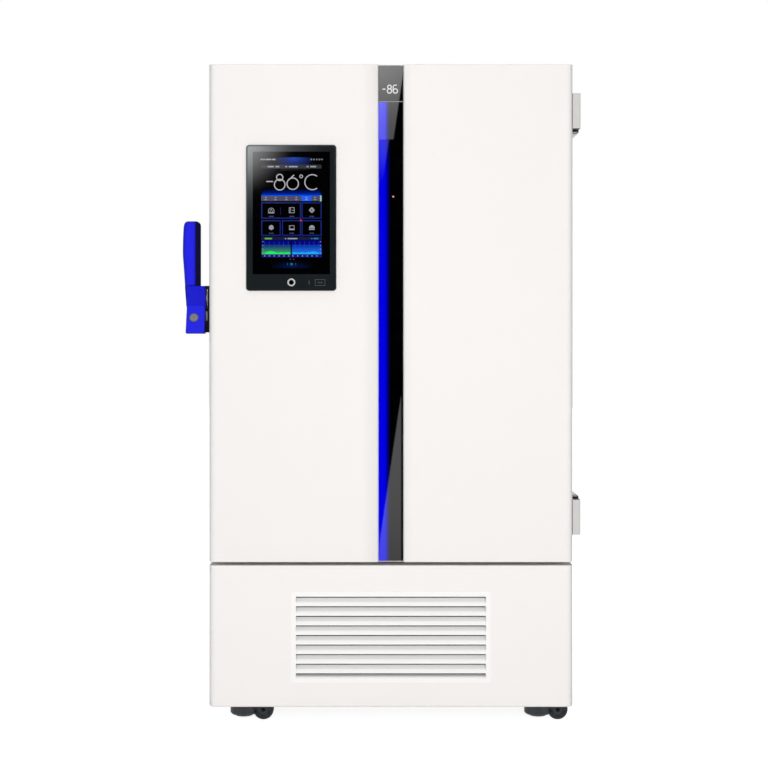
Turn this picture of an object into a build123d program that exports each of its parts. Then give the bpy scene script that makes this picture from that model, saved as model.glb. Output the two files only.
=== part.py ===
from build123d import *
import math
import os

os.makedirs("parts", exist_ok=True)

# An upright ultra low temperature freezer, in millimetres. While it is modelled, x = 0 is the
# middle of the cabinet, y = 0 the front of the door, z = 0 the floor. The last lines move it
# to its own origin, the middle of its footprint.

# Cabinet
cabinet_width = 1095.0
cabinet_height = 1990.0
shell_depth = 863.0
edge_radius = 16.0
sheet = 1.5
insulation = 112.0
liner_sheet = 1.2
frame_depth = 12.0
tray_sheet = 2.0
skirt_height = 57.0
skirt_flange = 12.0
skirt_corner = 8.0
service_top = 483.5
vent_length = 110.0
vent_height = 6.0
vent_gap = 30.0
vent_pitch = 26.0
vent_rows = 6
vent_columns = 3
vent_drop = 60.0
port_radius = 12.0
port_height = 1500.0
port_flange = 22.0
port_flange_sheet = 6.0

# Outer door
door_depth = 110.0
door_gap = 10.0
gasket_gap = 12.0
lip_radius = 10.0
channel_width = 73.0
channel_depth = 12.0
door_liner_sheet = 3.0
gasket_inset = 40.0
gasket_width = 26.0
gasket_lip = 14.0
gasket_base = 4.0
seal_clearance = 0.3
panel_clearance = 0.5
liner_rim = 20.0
liner_corner = 30.0
liner_groove = 8.0
liner_groove_depth = 1.0

# Centre strip
strip_clearance = 0.5
strip_recess = 3.5
strip_margin = 3.5
display_height = 107.5
window_height = 222.5
window_proud = 0.8
light_width = 33.0
light_depth = 4.5

# Touch screen
screen_width = 271.0
screen_height = 438.5
screen_side = 112.5
screen_drop = 242.5
screen_proud = 7.0
screen_corner = 10.0
screen_edge = 2.0
screen_sunk = 28.0
screen_flange = 10.0
glass_inset = 5.0
glass_thickness = 2.0
panel_width = 232.0
panel_height = 368.0
panel_side = 20.0
panel_top = 20.5
panel_thickness = 8.0
button_radius = 12.6
button_gap = 0.3
button_proud = 1.2
button_depth = 5.0
button_travel = 1.0
button_side = 136.2
button_rise = 25.4

# Hinges
hinge_offset = 12.0
hinge_setback = 60.0
hinge_height = 105.5
hinge_upper_drop = 138.2
hinge_lower_rise = 133.8
hinge_cover_reach = 24.0
hinge_cover_front = 8.0
hinge_cover_back = 100.0
hinge_cover_wall = 2.0
hinge_cover_corner = 5.0
hinge_cover_fit = 0.2
hinge_arm_radius = 11.5
hinge_arm_sheet = 6.0
hinge_arm_gap = 0.5
hinge_arm_back = 216.0
hinge_plate_sheet = 4.0
hinge_pin_radius = 6.0
hinge_pin_chamfer = 1.5
hinge_pin_drop = 14.0
hinge_running = 0.05
knuckle_radius = 9.5
leaf_sheet = 3.0
leaf_drop = 12.0
leaf_inset = 4.0
leaf_web = 12.0

# Handle and latch
latch_height = 1289.0
latch_setback = 60.0
latch_plate_sheet = 6.0
latch_base_reach = 12.5
latch_base_low = 1184.0
latch_base_high = 1325.0
latch_base_front = 22.0
latch_base_back = 98.0
latch_base_corner = 5.0
latch_rib_top = 9.0
latch_rib_foot = 35.0
latch_rib_rise = 38.0
latch_rib_height = 36.0
latch_rib_setback = 18.0
dome_radius = 25.0
dome_height = 7.0
dome_rim = 2.0
dome_land = 3.0
pivot_radius = 8.0
pivot_running = 0.05
pivot_cap = 10.0
housing_inner = 14.5
housing_width = 56.5
housing_low = 1180.0
housing_crease = 1265.0
housing_setback = 38.0
housing_nose = 34.0
housing_foot = 48.0
housing_back = 92.0
housing_corner = 7.0
grip_inner = 31.0
grip_width = 53.0
grip_top = 1521.5
grip_setback = 40.0
grip_depth = 36.0
grip_liner_width = 14.0
grip_round = 9.0
grip_corner = 14.0
grip_shoulder = 18.0
grip_shoulder_drop = 24.0
grip_shoulder_inset = 2.0
grip_slant = 0.06
grip_bulge_drop = 98.0
grip_waist = 6.5
grip_tail = 1262.0
grip_tail_inset = 6.0
grip_tail_foot = 2.0
lock_radius = 10.0
lock_collar = 13.0
lock_depth = 24.0
lock_running = 0.08
lock_proud = 1.5
lock_sunk = 0.5
lock_drop = 36.4
lock_shift = 4.5
key_width = 2.2
key_length = 11.0
key_depth = 4.0
cam_width = 16.0
cam_side = 28.5
cam_reach = 72.0
cam_tip = 6.0
cam_tip_height = 14.0
cam_shoulder = 26.0
cam_shoulder_height = 30.0
cam_root = 36.0
cam_gap = 0.6
roller_radius = 8.0
roller_height = 1262.0
roller_setback = 20.0
roller_length = 44.0
striker_setback = 4.0
striker_length = 74.0
striker_height = 100.0
striker_corner = 8.0
striker_boss_radius = 13.0
striker_boss_length = 5.0

# Service panel and grille
grille_width = 600.0
grille_height = 272.5
grille_bottom = 132.0
grille_border = 15.0
grille_cover = 5.0
grille_proud = 2.5
grille_sleeve = 14.0
grille_wall = 1.5
grille_corner = 3.0
louvre_count = 9
louvre_pitch = 28.8
louvre_slit = 5.0
louvre_top = 14.5
louvre_lip = 5.0
louvre_sheet = 1.5
louvre_rear = 11.0
louvre_foot = 14.0
louvre_proud = 1.0

# Inside the cold chamber
shelf_sheet = 2.0
shelf_count = 3
shelf_fold = 22.0
shelf_gap = 6.0
shelf_front = 64.0
shelf_slot_length = 240.0
shelf_slot_width = 40.0
shelf_slot_pitch = 132.0
shelf_slot_rows = 4
shelf_slot_columns = 3
shelf_slot_step = 270.0
shelf_slot_margin = 90.0
shelf_side_gap = 1.0
pilaster_width = 24.0
pilaster_depth = 12.0
pilaster_wall = 2.0
pilaster_flange = 3.0
pilaster_margin = 20.0
pilaster_front = 150.0
pilaster_rear = 120.0
clip_height = 8.0
clip_reach = 14.0
rail_height = 24.0
rail_depth = 50.0
rail_setback = 4.0
rail_web = 20.0
rail_wall = 4.0
inner_door_depth = 38.0
inner_door_gap = 4.0
inner_door_recess = 4.0
inner_door_border = 46.0
inner_door_corner = 6.0
inner_door_panel_corner = 18.0
inner_door_play = 1.0
inner_hinge_side = 12.0
inner_hinge_setback = 8.0
inner_pin_radius = 4.0
inner_pin_length = 5.0
inner_lug_height = 6.0
inner_lug_width = 30.0
inner_lug_reach = 12.0
pull_width = 34.0
pull_height = 150.0
pull_depth = 16.0
pull_side = 70.0
pull_corner = 12.0

# Machine compartment
pan_height = 92.0
pan_sheet = 3.0
pan_rim = 30.0
pan_fit = 0.5
bearer_width = 40.0
bearer_height = 12.0
bearer_setback = 60.0
filter_depth = 12.0
filter_width = 560.0
filter_height = 262.0
filter_rim = 12.0
filter_recess = 4.0
coil_width = 540.0
coil_height = 256.0
coil_depth = 40.0
coil_setback = 40.0
fin_pitch = 30.0
fin_groove = 12.0
fin_groove_depth = 8.0
fin_margin = 6.0
coil_margin = 20.0
coil_foot = 40.0
coil_foot_sheet = 4.0
tube_radius = 5.5
tube_sides = 6
tube_rows = 6
shroud_depth = 30.0
shroud_sheet = 2.0
fan_radius = 112.0
fan_tip_gap = 6.0
fan_depth = 26.0
fan_blades = 5
fan_blade_width = 50.0
fan_blade_sheet = 2.0
fan_blade_pitch = 28.0
fan_blade_root = 8.0
fan_hub_chamfer = 5.0
fan_overlap = 2.0
fan_hub_radius = 26.0
fan_shaft_radius = 4.0
fan_running = 0.05
motor_radius = 38.0
motor_length = 62.0
motor_chamfer = 5.0
spider_sheet = 4.0
spider_arm = 14.0
spider_rim = 6.0
compressor_rise = 22.0
compressor_crown = 0.3
compressor_base = 0.22
compressor_seam_share = 0.55
terminal_share = 0.45
compressor_seam = 8.0
compressor_seam_proud = 3.0
compressor_plate = 18.0
compressor_plate_sheet = 4.0
compressor_foot_side = 26.0
compressor_foot_inset = 16.0
terminal_width = 60.0
terminal_depth = 22.0
terminal_height = 70.0
high_stage_radius = 84.0
high_stage_height = 250.0
high_stage_x = -230.0
high_stage_setback = 330.0
low_stage_radius = 78.0
low_stage_height = 220.0
low_stage_x = 60.0
low_stage_setback = 360.0
control_width = 250.0
control_depth = 180.0
control_height = 300.0
control_side = 80.0
control_back = 80.0
control_corner = 6.0
control_lid = 12.0
control_lid_lap = 4.0
thin_pipe_radius = 4.0
thick_pipe_radius = 6.0
pipe_sides = 6
thin_pipe_bend = 24.0
thick_pipe_bend = 18.0
pipe_drop = 22.0
pipe_offset = 46.0
pipe_high = 200.0
pipe_low = 60.0
suction_run = 160.0
liquid_run = 200.0
liquid_drop = 40.0
drier_side = 130.0
drier_radius = 16.0
drier_length = 130.0
drier_chamfer = 6.0
inlet_side = 120.0
inlet_rise = 60.0
inlet_flange_width = 56.0
inlet_flange_height = 44.0
inlet_flange_sheet = 5.0
inlet_flange_corner = 4.0
inlet_width = 40.0
inlet_height = 28.0
inlet_depth = 31.5
inlet_wall = 5.0
inlet_well = 16.0
pin_pitch = 8.0
pin_width = 2.0
pin_height = 6.0

# Casters and levelling feet
caster_side = 97.5
caster_front = 100.0
caster_back = 885.0
caster_trail = 60.0
wheel_radius = 31.0
wheel_width = 25.0
wheel_gap = 1.5
wheel_room = 2.0
wheel_chamfer = 3.0
wheel_rim = 8.0
wheel_dish = 3.0
axle_radius = 5.0
axle_running = 0.06
fork_radius = 41.5
fork_low = 17.0
fork_chamfer = 5.0
fork_rear_rise = 8.0
fork_shoulder = 8.0
fork_top = 72.0
fork_cheek = 6.0
cheek_radius = 18.0
stem_radius = 12.0
stem_running = 0.08
caster_clearance = 2.0
caster_plate = 110.0
foot_radius = 27.0
foot_height = 8.0
foot_rise = 12.0
foot_stem_radius = 8.0
foot_chamfer = 2.0
foot_clearance = 0.3
foot_end_gap = 2.0
foot_bridge = 6.0

# Places that follow from the sizes above
side = cabinet_width / 2
shell_front = door_depth + gasket_gap
shell_back = shell_front + shell_depth
chamber_side = side - sheet - insulation - liner_sheet
chamber_front = shell_front + frame_depth
chamber_back = shell_back - sheet - insulation - liner_sheet
foam_bottom = service_top + tray_sheet
foam_top = cabinet_height - sheet
chamber_bottom = foam_bottom + insulation + liner_sheet
chamber_top = foam_top - insulation - liner_sheet
door_bottom = service_top + door_gap
door_height = cabinet_height - door_bottom
strip_top = cabinet_height - strip_margin
hinge_x = side + hinge_offset
hinge_upper = cabinet_height - hinge_upper_drop
hinge_lower = door_bottom + hinge_lower_rise
screen_left = side - screen_side
screen_bottom = cabinet_height - screen_drop - screen_height
pan_top = pan_height + pan_sheet


def block(x0, x1, y0, y1, z0, z1):
    middle = Pos((x0 + x1) / 2, (y0 + y1) / 2, (z0 + z1) / 2)
    return middle * Box(x1 - x0, y1 - y0, z1 - z0)


def rod_x(radius, x0, x1, y, z):
    return Pos((x0 + x1) / 2, y, z) * Rot(0, 90, 0) * Cylinder(radius, x1 - x0)


def rod_y(radius, x, y0, y1, z):
    return Pos(x, (y0 + y1) / 2, z) * Rot(90, 0, 0) * Cylinder(radius, y1 - y0)


def rod_z(radius, x, y, z0, z1):
    return Pos(x, y, (z0 + z1) / 2) * Cylinder(radius, z1 - z0)


def facing(x, y, z):
    """A plane that faces the front, with its own y upwards."""
    return Plane(origin=(x, y, z), x_dir=(1, 0, 0), z_dir=(0, -1, 0))


def slab_y(sketch, x, y0, y1, z):
    """A sketch drawn as seen from the front, extruded from y0 back to y1."""
    return extrude(facing(x, y1, z) * sketch, amount=y1 - y0)


def rounded_y(x0, x1, y0, y1, z0, z1, radius):
    sketch = RectangleRounded(x1 - x0, z1 - z0, radius)
    return slab_y(sketch, (x0 + x1) / 2, y0, y1, (z0 + z1) / 2)


def profile_x(points, x0, x1):
    """An outline of (y, z) points, extruded from x0 to x1."""
    return extrude(Plane.YZ.offset(x0) * make_face(Polyline(*points, close=True)), amount=x1 - x0)


def corners(shape, places):
    """The vertices of a sketch that lie at the given places."""
    found = []
    for vertex in shape.vertices():
        if any(abs(vertex.X - x) < 1e-4 and abs(vertex.Y - y) < 1e-4 for x, y in places):
            found.append(vertex)
    return found


def group(pieces):
    """Separate solids that share one node."""
    return Compound([solid for piece in pieces for solid in piece.solids()])


def box_section(depth, inset):
    """A U seen from above, open to the back, with rounded front corners."""
    half = side - inset
    section = make_face(Polyline((-half, depth), (-half, inset), (half, inset), (half, depth), close=True))
    return fillet(corners(section, [(-half, inset), (half, inset)]), radius=edge_radius - inset)


def door_section(inset, depth):
    """The door seen from above: two panels that roll in to the channel between them."""
    mouth = channel_width / 2 + inset
    section = box_section(depth, inset)
    section -= Pos(0, channel_depth / 2) * Rectangle(2 * mouth, channel_depth + 2 * inset)
    return fillet(corners(section, [(-mouth, inset), (mouth, inset)]), radius=lip_radius - inset)


def door_shell():
    body = extrude(Pos(0, 0, door_bottom) * door_section(0, door_depth), amount=door_height)
    hollow = Pos(0, 0, door_bottom + sheet) * door_section(sheet, door_depth)
    body -= extrude(hollow, amount=door_height - 2 * sheet)
    return body - screen_pocket()


def screen_pocket():
    left = -screen_left + screen_flange
    right = -screen_left + screen_width - screen_flange
    low = screen_bottom + screen_flange
    high = screen_bottom + screen_height - screen_flange
    return block(left, right, -1, screen_sunk, low, high)


def door_foam():
    section = Pos(0, 0, door_bottom + sheet) * door_section(sheet, door_depth - door_liner_sheet)
    return extrude(section, amount=door_height - 2 * sheet) - screen_pocket()


def door_liner():
    half = side - sheet
    low = door_bottom + sheet
    high = cabinet_height - sheet
    plate = block(-half, half, door_depth - door_liner_sheet, door_depth, low, high)
    rim = gasket_inset + gasket_width + liner_rim
    front = door_depth - liner_groove_depth
    rings = []
    for step in (rim, rim + liner_groove):
        corner = liner_corner - (step - rim)
        rings.append(rounded_y(step - half, half - step, front, door_depth, low + step, high - step, corner))
    return plate - (rings[0] - rings[1])


def ring_y(outer, inner, y0, y1):
    """A ring with mitred corners around the door's rear, between two insets from its edge."""
    middle = (door_bottom + cabinet_height) / 2
    sketch = Rectangle(2 * (side - outer), door_height - 2 * outer)
    sketch -= Rectangle(2 * (side - inner), door_height - 2 * inner)
    return slab_y(sketch, 0, y0, y1, middle)


def door_gasket():
    base_end = door_depth + gasket_base
    base = ring_y(gasket_inset, gasket_inset + gasket_width, door_depth, base_end)
    margin = (gasket_width - gasket_lip) / 2
    lip = ring_y(
        gasket_inset + margin,
        gasket_inset + gasket_width - margin,
        base_end,
        shell_front - seal_clearance,
    )
    return base + lip


def strip_parts():
    half = channel_width / 2 - strip_clearance
    low = door_bottom + strip_margin
    display_low = strip_top - display_height
    window_low = strip_top - window_height
    pane_front = strip_recess - window_proud
    strip = block(-half, half, strip_recess, channel_depth, low, strip_top)
    display = block(-half, half, strip_recess, channel_depth, display_low, strip_top)
    pane = block(-half, half, pane_front, strip_recess, window_low, strip_top)
    light = block(-half, light_width - half, strip_recess, strip_recess + light_depth, low, display_low)
    return strip - display - light, light, display + pane


def screen_parts():
    left = -screen_left
    right = left + screen_width
    top = screen_bottom + screen_height
    glass_back = glass_thickness - screen_proud
    bezel = rounded_y(left, right, -screen_proud, 0, screen_bottom, top, screen_corner)
    bezel = chamfer(bezel.faces().sort_by(Axis.Y)[0].edges(), length=screen_edge)
    flange = screen_flange
    body = block(left + flange, right - flange, 0, screen_sunk, screen_bottom + flange, top - flange)
    glass = rounded_y(
        left + glass_inset,
        right - glass_inset,
        -screen_proud,
        glass_back,
        screen_bottom + glass_inset,
        top - glass_inset,
        screen_corner - glass_inset,
    )
    panel_left = left + panel_side
    panel_high = top - panel_top
    panel = block(
        panel_left,
        panel_left + panel_width,
        glass_back,
        glass_back + panel_thickness,
        panel_high - panel_height,
        panel_high,
    )
    button_x = left + button_side
    button_z = screen_bottom + button_rise
    button_front = -screen_proud - button_proud
    button_back = button_front + button_depth
    well_floor = button_back + button_travel + button_gap
    well = rod_y(button_radius + button_gap, button_x, -screen_proud - 1, well_floor, button_z)
    button = rod_y(button_radius, button_x, button_front, button_back, button_z)
    button = fillet(button.faces().sort_by(Axis.Y)[0].edges(), radius=button_proud / 2)
    housing = bezel + body - glass - panel - well
    return housing, glass - well, panel, button


def hinge_set(shape):
    """A hinge piece is drawn about z = 0 for the upper hinge and mirrored for the lower."""
    lower = Pos(0, 0, hinge_lower) * mirror(shape, about=Plane.XY)
    return group([Pos(0, 0, hinge_upper) * shape, lower])


def hinge_bracket():
    low = -hinge_height / 2 - hinge_arm_gap - hinge_arm_sheet
    high = low + hinge_arm_sheet
    plate_front = shell_front + hinge_arm_sheet
    reach = hinge_x + hinge_arm_radius
    arm = rod_z(hinge_arm_radius, hinge_x, hinge_setback, low, high)
    arm += block(hinge_x - hinge_arm_radius, reach, hinge_setback, hinge_arm_back, low, high)
    plate_end = side + hinge_plate_sheet
    arm += block(side, plate_end, plate_front, hinge_arm_back, low, hinge_height / 2)
    rib = Polyline(
        (plate_end, high),
        (reach, high),
        (plate_end, high + 2 * hinge_offset),
        close=True,
    )
    middle = (plate_front + hinge_arm_back) / 2
    rib_plane = Plane(origin=(0, middle, 0), x_dir=(1, 0, 0), z_dir=(0, -1, 0))
    arm += extrude(rib_plane * make_face(rib), amount=hinge_plate_sheet)
    return arm - rod_z(hinge_pin_radius, hinge_x, hinge_setback, low - 1, high + 1)


def hinge_pin():
    low = -hinge_height / 2 - hinge_arm_gap - hinge_arm_sheet
    pin = rod_z(hinge_pin_radius, hinge_x, hinge_setback, low, hinge_height / 2 - hinge_pin_drop)
    return chamfer(pin.faces().sort_by(Axis.Z)[-1].edges(), length=hinge_pin_chamfer)


def hinge_leaf():
    low = -hinge_height / 2
    front = hinge_cover_front + hinge_cover_wall + hinge_cover_fit
    back = hinge_cover_back - hinge_cover_wall - hinge_cover_fit
    reach = side + hinge_cover_reach - hinge_cover_wall - hinge_cover_fit
    top = hinge_height / 2 - leaf_drop
    leaf = block(side, reach, front, back, low, low + leaf_sheet)
    leaf += block(side, side + leaf_sheet, front + leaf_inset, back - leaf_inset, low, top)
    leaf += rod_z(knuckle_radius, hinge_x, hinge_setback, low, top)
    leaf += block(side, hinge_x, hinge_setback - leaf_web / 2, hinge_setback + leaf_web / 2, low, top)
    bore = hinge_pin_radius + hinge_running
    return leaf - rod_z(bore, hinge_x, hinge_setback, low - 1, top + 1)


def hinge_cover():
    half = hinge_height / 2
    reach = side + hinge_cover_reach
    cover = block(side, reach, hinge_cover_front, hinge_cover_back, -half, half)
    cover = fillet(cover.edges().filter_by(Axis.Z).group_by(Axis.X)[-1], radius=hinge_cover_corner)
    wall = hinge_cover_wall
    front = hinge_cover_front + wall
    return cover - block(side - 1, reach - wall, front, hinge_cover_back - wall, -half - 1, half - wall)


def latch_base():
    outer = -side - latch_base_reach
    plate = -side - latch_plate_sheet
    front = latch_base_front
    back = latch_base_back
    low = latch_base_low
    high = latch_base_high
    middle = low + latch_rib_rise
    base = block(plate, -side, front, back, low, high)
    base += block(outer, plate, front, back, high - latch_rib_top, high)
    base += block(outer, plate, front, back, low, low + latch_rib_foot)
    base += block(
        outer,
        plate,
        front + latch_rib_setback,
        back - latch_rib_setback,
        middle,
        middle + latch_rib_height,
    )
    return fillet(base.edges().filter_by(Axis.X).group_by(Axis.Z)[-1], radius=latch_base_corner)


def lever_pivot():
    seat = -side - latch_plate_sheet
    dome_edge = seat - dome_rim
    crown = seat - dome_height
    pivot_end = -side - housing_inner - housing_width + pivot_cap
    outline = [
        (seat, 0),
        (seat, dome_radius),
        (dome_edge, dome_radius),
        (crown, pivot_radius + dome_land),
        (crown, pivot_radius),
        (pivot_end, pivot_radius),
        (pivot_end, 0),
    ]
    section = Pos(0, latch_setback, latch_height) * make_face(Polyline(*outline, close=True))
    return revolve(section, axis=Axis((0, latch_setback, latch_height), (1, 0, 0)))


def lock_place():
    """The middle of the key lock on the sloped face, and the way it points."""
    drop = housing_crease - housing_low
    slope = math.hypot(housing_nose, drop)
    centre = (
        -side - housing_inner - housing_width / 2 - lock_shift,
        housing_setback - housing_nose * lock_drop / drop,
        housing_crease - lock_drop,
    )
    return Plane(origin=centre, x_dir=(1, 0, 0), z_dir=(0, -drop / slope, housing_nose / slope))


def handle_housing():
    """A block with a sloped lower front that carries the key lock."""
    inner = -side - housing_inner
    outer = inner - housing_width
    outline = [
        (housing_setback, latch_base_high),
        (housing_setback, housing_crease),
        (housing_setback - housing_nose, housing_low),
        (housing_foot, housing_low),
        (housing_back, housing_crease),
        (housing_back, latch_base_high),
    ]
    housing = profile_x(outline, outer, inner)
    housing = fillet(housing.edges().filter_by(Axis.X).group_by(Axis.Z)[0], radius=housing_corner)
    housing = fillet(housing.faces().sort_by(Axis.X)[0].edges(), radius=housing_corner / 2)
    place = lock_place()
    bore = lock_radius + lock_running
    housing += place * Pos(0, 0, lock_proud / 2) * Cylinder(lock_collar, lock_proud)
    housing -= place * Pos(0, 0, (lock_proud - lock_depth) / 2) * Cylinder(bore, lock_depth + lock_proud)
    shaft_end = outer + pivot_cap - pivot_running
    return housing - rod_x(pivot_radius + pivot_running, shaft_end, inner + 1, latch_setback, latch_height)


def lock_core():
    length = lock_depth + lock_proud - lock_sunk
    core = Pos(0, 0, lock_proud - length / 2) * Cylinder(lock_radius, length)
    slot = Pos(0, 0, lock_proud) * Box(key_width, key_length, 2 * key_depth)
    return lock_place() * (core - slot)


def grip_outline():
    """The lever seen from the front: straight inside, bulged outside, rounded at the top."""
    inner = -side - grip_inner
    outer = inner - grip_width
    shoulder = (outer + grip_shoulder_inset, grip_top - grip_shoulder_drop)
    waist = (outer + grip_waist, latch_base_high)
    return [
        Line((inner, latch_base_high), (inner, grip_top - grip_corner)),
        RadiusArc((inner, grip_top - grip_corner), (inner - grip_corner, grip_top), -grip_corner),
        Line((inner - grip_corner, grip_top), (outer + grip_shoulder, grip_top)),
        Spline(
            (outer + grip_shoulder, grip_top),
            shoulder,
            (outer, grip_top - grip_bulge_drop),
            waist,
            tangents=[(-1, 0), (grip_slant, -1)],
        ),
        Line(waist, (inner, latch_base_high)),
    ]


def grip_tail_piece():
    """A tapered tongue that runs down the outer side of the housing."""
    root = -side - housing_inner - housing_width
    outer = -side - grip_inner - grip_width + grip_waist
    face = make_face(
        Polyline(
            (root, latch_base_high),
            (outer, latch_base_high),
            (root - grip_tail_foot, grip_tail),
            (root, grip_tail),
            close=True,
        )
    )
    front = grip_setback + grip_tail_inset
    return slab_y(face, 0, front, front + grip_depth - 2 * grip_tail_inset, 0)


def grip_parts():
    face = make_face(grip_outline())
    lever = slab_y(face, 0, grip_setback, grip_setback + grip_depth, 0)
    upper = lever.edges().filter_by(lambda edge: edge.center().Z > latch_base_high + 1)
    lever = fillet([edge for edge in upper if abs(edge.tangent_at(0.5).Y) < 0.5], radius=grip_round)
    split = -side - grip_inner - grip_liner_width
    keep = block(split, 0, 0, shell_front, latch_base_high, grip_top + 1)
    return lever - keep + grip_tail_piece(), lever & keep


def latch_cam():
    centre = -side - housing_inner - cam_side
    underside = roller_height + roller_radius + cam_gap
    tip = housing_back + cam_reach
    outline = [
        (housing_back, underside),
        (tip - cam_tip, underside),
        (tip, underside + cam_tip),
        (tip, underside + cam_tip_height),
        (housing_back + cam_shoulder, underside + cam_shoulder_height),
        (housing_back, underside + cam_root),
    ]
    return profile_x(outline, centre - cam_width / 2, centre + cam_width / 2)


def latch_striker():
    front = shell_front + striker_setback
    back = front + striker_length
    low = latch_base_high - striker_height
    y = front + roller_setback
    seat = -side - latch_plate_sheet
    plate = block(seat, -side, front, back, low, latch_base_high)
    plate = fillet(plate.edges().filter_by(Axis.X), radius=striker_corner)
    roller = rod_x(roller_radius, seat - roller_length, seat, y, roller_height)
    return plate + roller + rod_x(striker_boss_radius, seat - striker_boss_length, seat, y, roller_height)


def service_panel():
    """A folded tray: front and sides in one sheet, a closed top, a narrow flange below."""
    height = service_top - skirt_height
    depth = shell_front - panel_clearance
    inside = depth + 1
    panel = extrude(Pos(0, 0, skirt_height) * box_section(depth, 0), amount=height)
    low_edges = panel.faces().sort_by(Axis.Z)[0].edges()
    panel = fillet([edge for edge in low_edges if edge.center().Y < depth - 1], radius=skirt_corner)
    hollow = extrude(Pos(0, 0, skirt_height + sheet) * box_section(inside, sheet), amount=height - 2 * sheet)
    low_edges = hollow.faces().sort_by(Axis.Z)[0].edges()
    hollow = chamfer([edge for edge in low_edges if edge.center().Y < depth], length=skirt_corner / 2)
    panel -= hollow
    panel -= extrude(Pos(0, 0, skirt_height - 1) * box_section(inside, skirt_flange), amount=skirt_corner)
    half = grille_width / 2 - grille_cover
    low = grille_bottom + grille_cover
    high = grille_bottom + grille_height - grille_cover
    return panel - block(-half, half, -1, sheet + 1, low, high)


def grille():
    half = grille_width / 2
    top = grille_bottom + grille_height
    opening = half - grille_border
    hole = half - grille_cover
    ring = rounded_y(-half, half, -grille_proud, 0, grille_bottom, top, grille_corner)
    ring += block(-hole, hole, 0, grille_sleeve, grille_bottom + grille_cover, top - grille_cover)
    rear = hole - grille_wall
    low = grille_bottom + grille_cover + grille_wall
    high = top - grille_cover - grille_wall
    ring -= block(-rear, rear, grille_wall, grille_sleeve + 1, low, high)
    first = top - louvre_top
    last = first - (louvre_count - 1) * louvre_pitch - louvre_slit
    foot = last - louvre_pitch + louvre_slit + louvre_foot
    ring -= block(-opening, opening, -grille_proud - 1, grille_sleeve + 1, foot, first)
    for i in range(louvre_count):
        slit_foot = first - i * louvre_pitch - louvre_slit
        lip = max(first - (i + 1) * louvre_pitch, foot)
        ring += profile_x(
            [
                (louvre_rear - louvre_proud, slit_foot),
                (-louvre_proud, lip + louvre_lip),
                (-louvre_proud, lip),
                (louvre_sheet - louvre_proud, lip),
                (louvre_sheet - louvre_proud, lip + louvre_lip),
                (louvre_rear + louvre_sheet - louvre_proud, slit_foot),
            ],
            -rear,
            rear,
        )
    return ring


def cabinet_shell():
    outer = block(-side, side, shell_front, shell_back, skirt_height, cabinet_height)
    inner = side - sheet
    return outer - block(-inner, inner, shell_front - 1, shell_back + 1, skirt_height - 1, foam_top)


def rear_panel():
    inner = side - sheet
    panel = block(-inner, inner, shell_back - sheet, shell_back, skirt_height, foam_top)
    first = service_top - vent_drop
    reach = vent_columns // 2
    for row in range(vent_rows):
        z = first - row * vent_pitch
        for column in range(-reach, reach + 1):
            x = column * (vent_length + vent_gap)
            panel -= block(
                x - vent_length / 2,
                x + vent_length / 2,
                shell_back - sheet - 1,
                shell_back + 1,
                z - vent_height,
                z,
            )
    return panel - port_bore()


def port_bore():
    return rod_y(port_radius, 0, chamber_back - 1, shell_back + 1, port_height)


def port_plug():
    stem = rod_y(port_radius, 0, chamber_back, shell_back, port_height)
    return stem + rod_y(port_flange, 0, shell_back, shell_back + port_flange_sheet, port_height)


def foam_tray():
    inner = side - sheet
    return block(-inner, inner, shell_front, shell_back - sheet, service_top, foam_bottom)


def liner_block(grow):
    half = chamber_side + grow
    return block(
        -half, half, chamber_front, chamber_back + grow, chamber_bottom - grow, chamber_top + grow
    )


def insulation_foam():
    inner = side - sheet
    foam = block(-inner, inner, chamber_front, shell_back - sheet, foam_bottom, foam_top)
    return foam - liner_block(liner_sheet) - port_bore()


def inner_liner():
    return liner_block(liner_sheet) - liner_block(0) - port_bore()


def breaker_frame():
    inner = side - sheet
    ring = block(-inner, inner, shell_front, chamber_front, foam_bottom, foam_top)
    ring -= block(
        -chamber_side, chamber_side, shell_front - 1, chamber_front + 1, chamber_bottom, chamber_top
    )
    axis_x = chamber_side - inner_hinge_side
    axis_y = shell_front + rail_setback + inner_hinge_setback
    lug_back = axis_y + inner_lug_reach
    left = chamber_side - inner_lug_width
    bore = inner_pin_radius + hinge_running
    for low in (chamber_bottom, chamber_top - inner_lug_height):
        high = low + inner_lug_height
        ring += block(left, chamber_side, shell_front, lug_back, low, high)
        ring -= rod_z(bore, axis_x, axis_y, low, high)
    return ring


def centre_rail():
    middle = (chamber_bottom + chamber_top) / 2
    front = shell_front + rail_setback
    low = middle - rail_height / 2
    high = middle + rail_height / 2
    rail = block(-chamber_side, chamber_side, front, front + rail_depth, low, high)
    groove_end = front + rail_depth + 1
    groove = block(
        -chamber_side, chamber_side, front + rail_web, groove_end, low + rail_wall, high - rail_wall
    )
    axis_x = chamber_side - inner_hinge_side
    bore = inner_pin_radius + hinge_running
    return rail - groove - rod_z(bore, axis_x, front + inner_hinge_setback, low - 1, high + 1)


def inner_door(low, high):
    axis_x = chamber_side - inner_hinge_side
    front = shell_front + rail_setback
    axis_y = front + inner_hinge_setback
    half = chamber_side - inner_door_gap
    back = front + inner_door_depth
    panel = block(-half, half, front, back, low, high)
    panel = fillet(panel.edges().filter_by(Axis.Z), radius=inner_door_corner)
    border = inner_door_border
    recess = rounded_y(
        -half + border,
        half - border,
        front - 1,
        front + inner_door_recess,
        low + border,
        high - border,
        inner_door_panel_corner,
    )
    middle = (low + high) / 2
    pull_left = -half + pull_side
    pull = rounded_y(
        pull_left,
        pull_left + pull_width,
        front - 1,
        front + pull_depth,
        middle - pull_height / 2,
        middle + pull_height / 2,
        pull_corner,
    )
    panel = panel - recess - pull
    panel += rod_z(inner_pin_radius, axis_x, axis_y, low - inner_pin_length, low)
    panel += rod_z(inner_pin_radius, axis_x, axis_y, high, high + inner_pin_length)
    return panel


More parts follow.
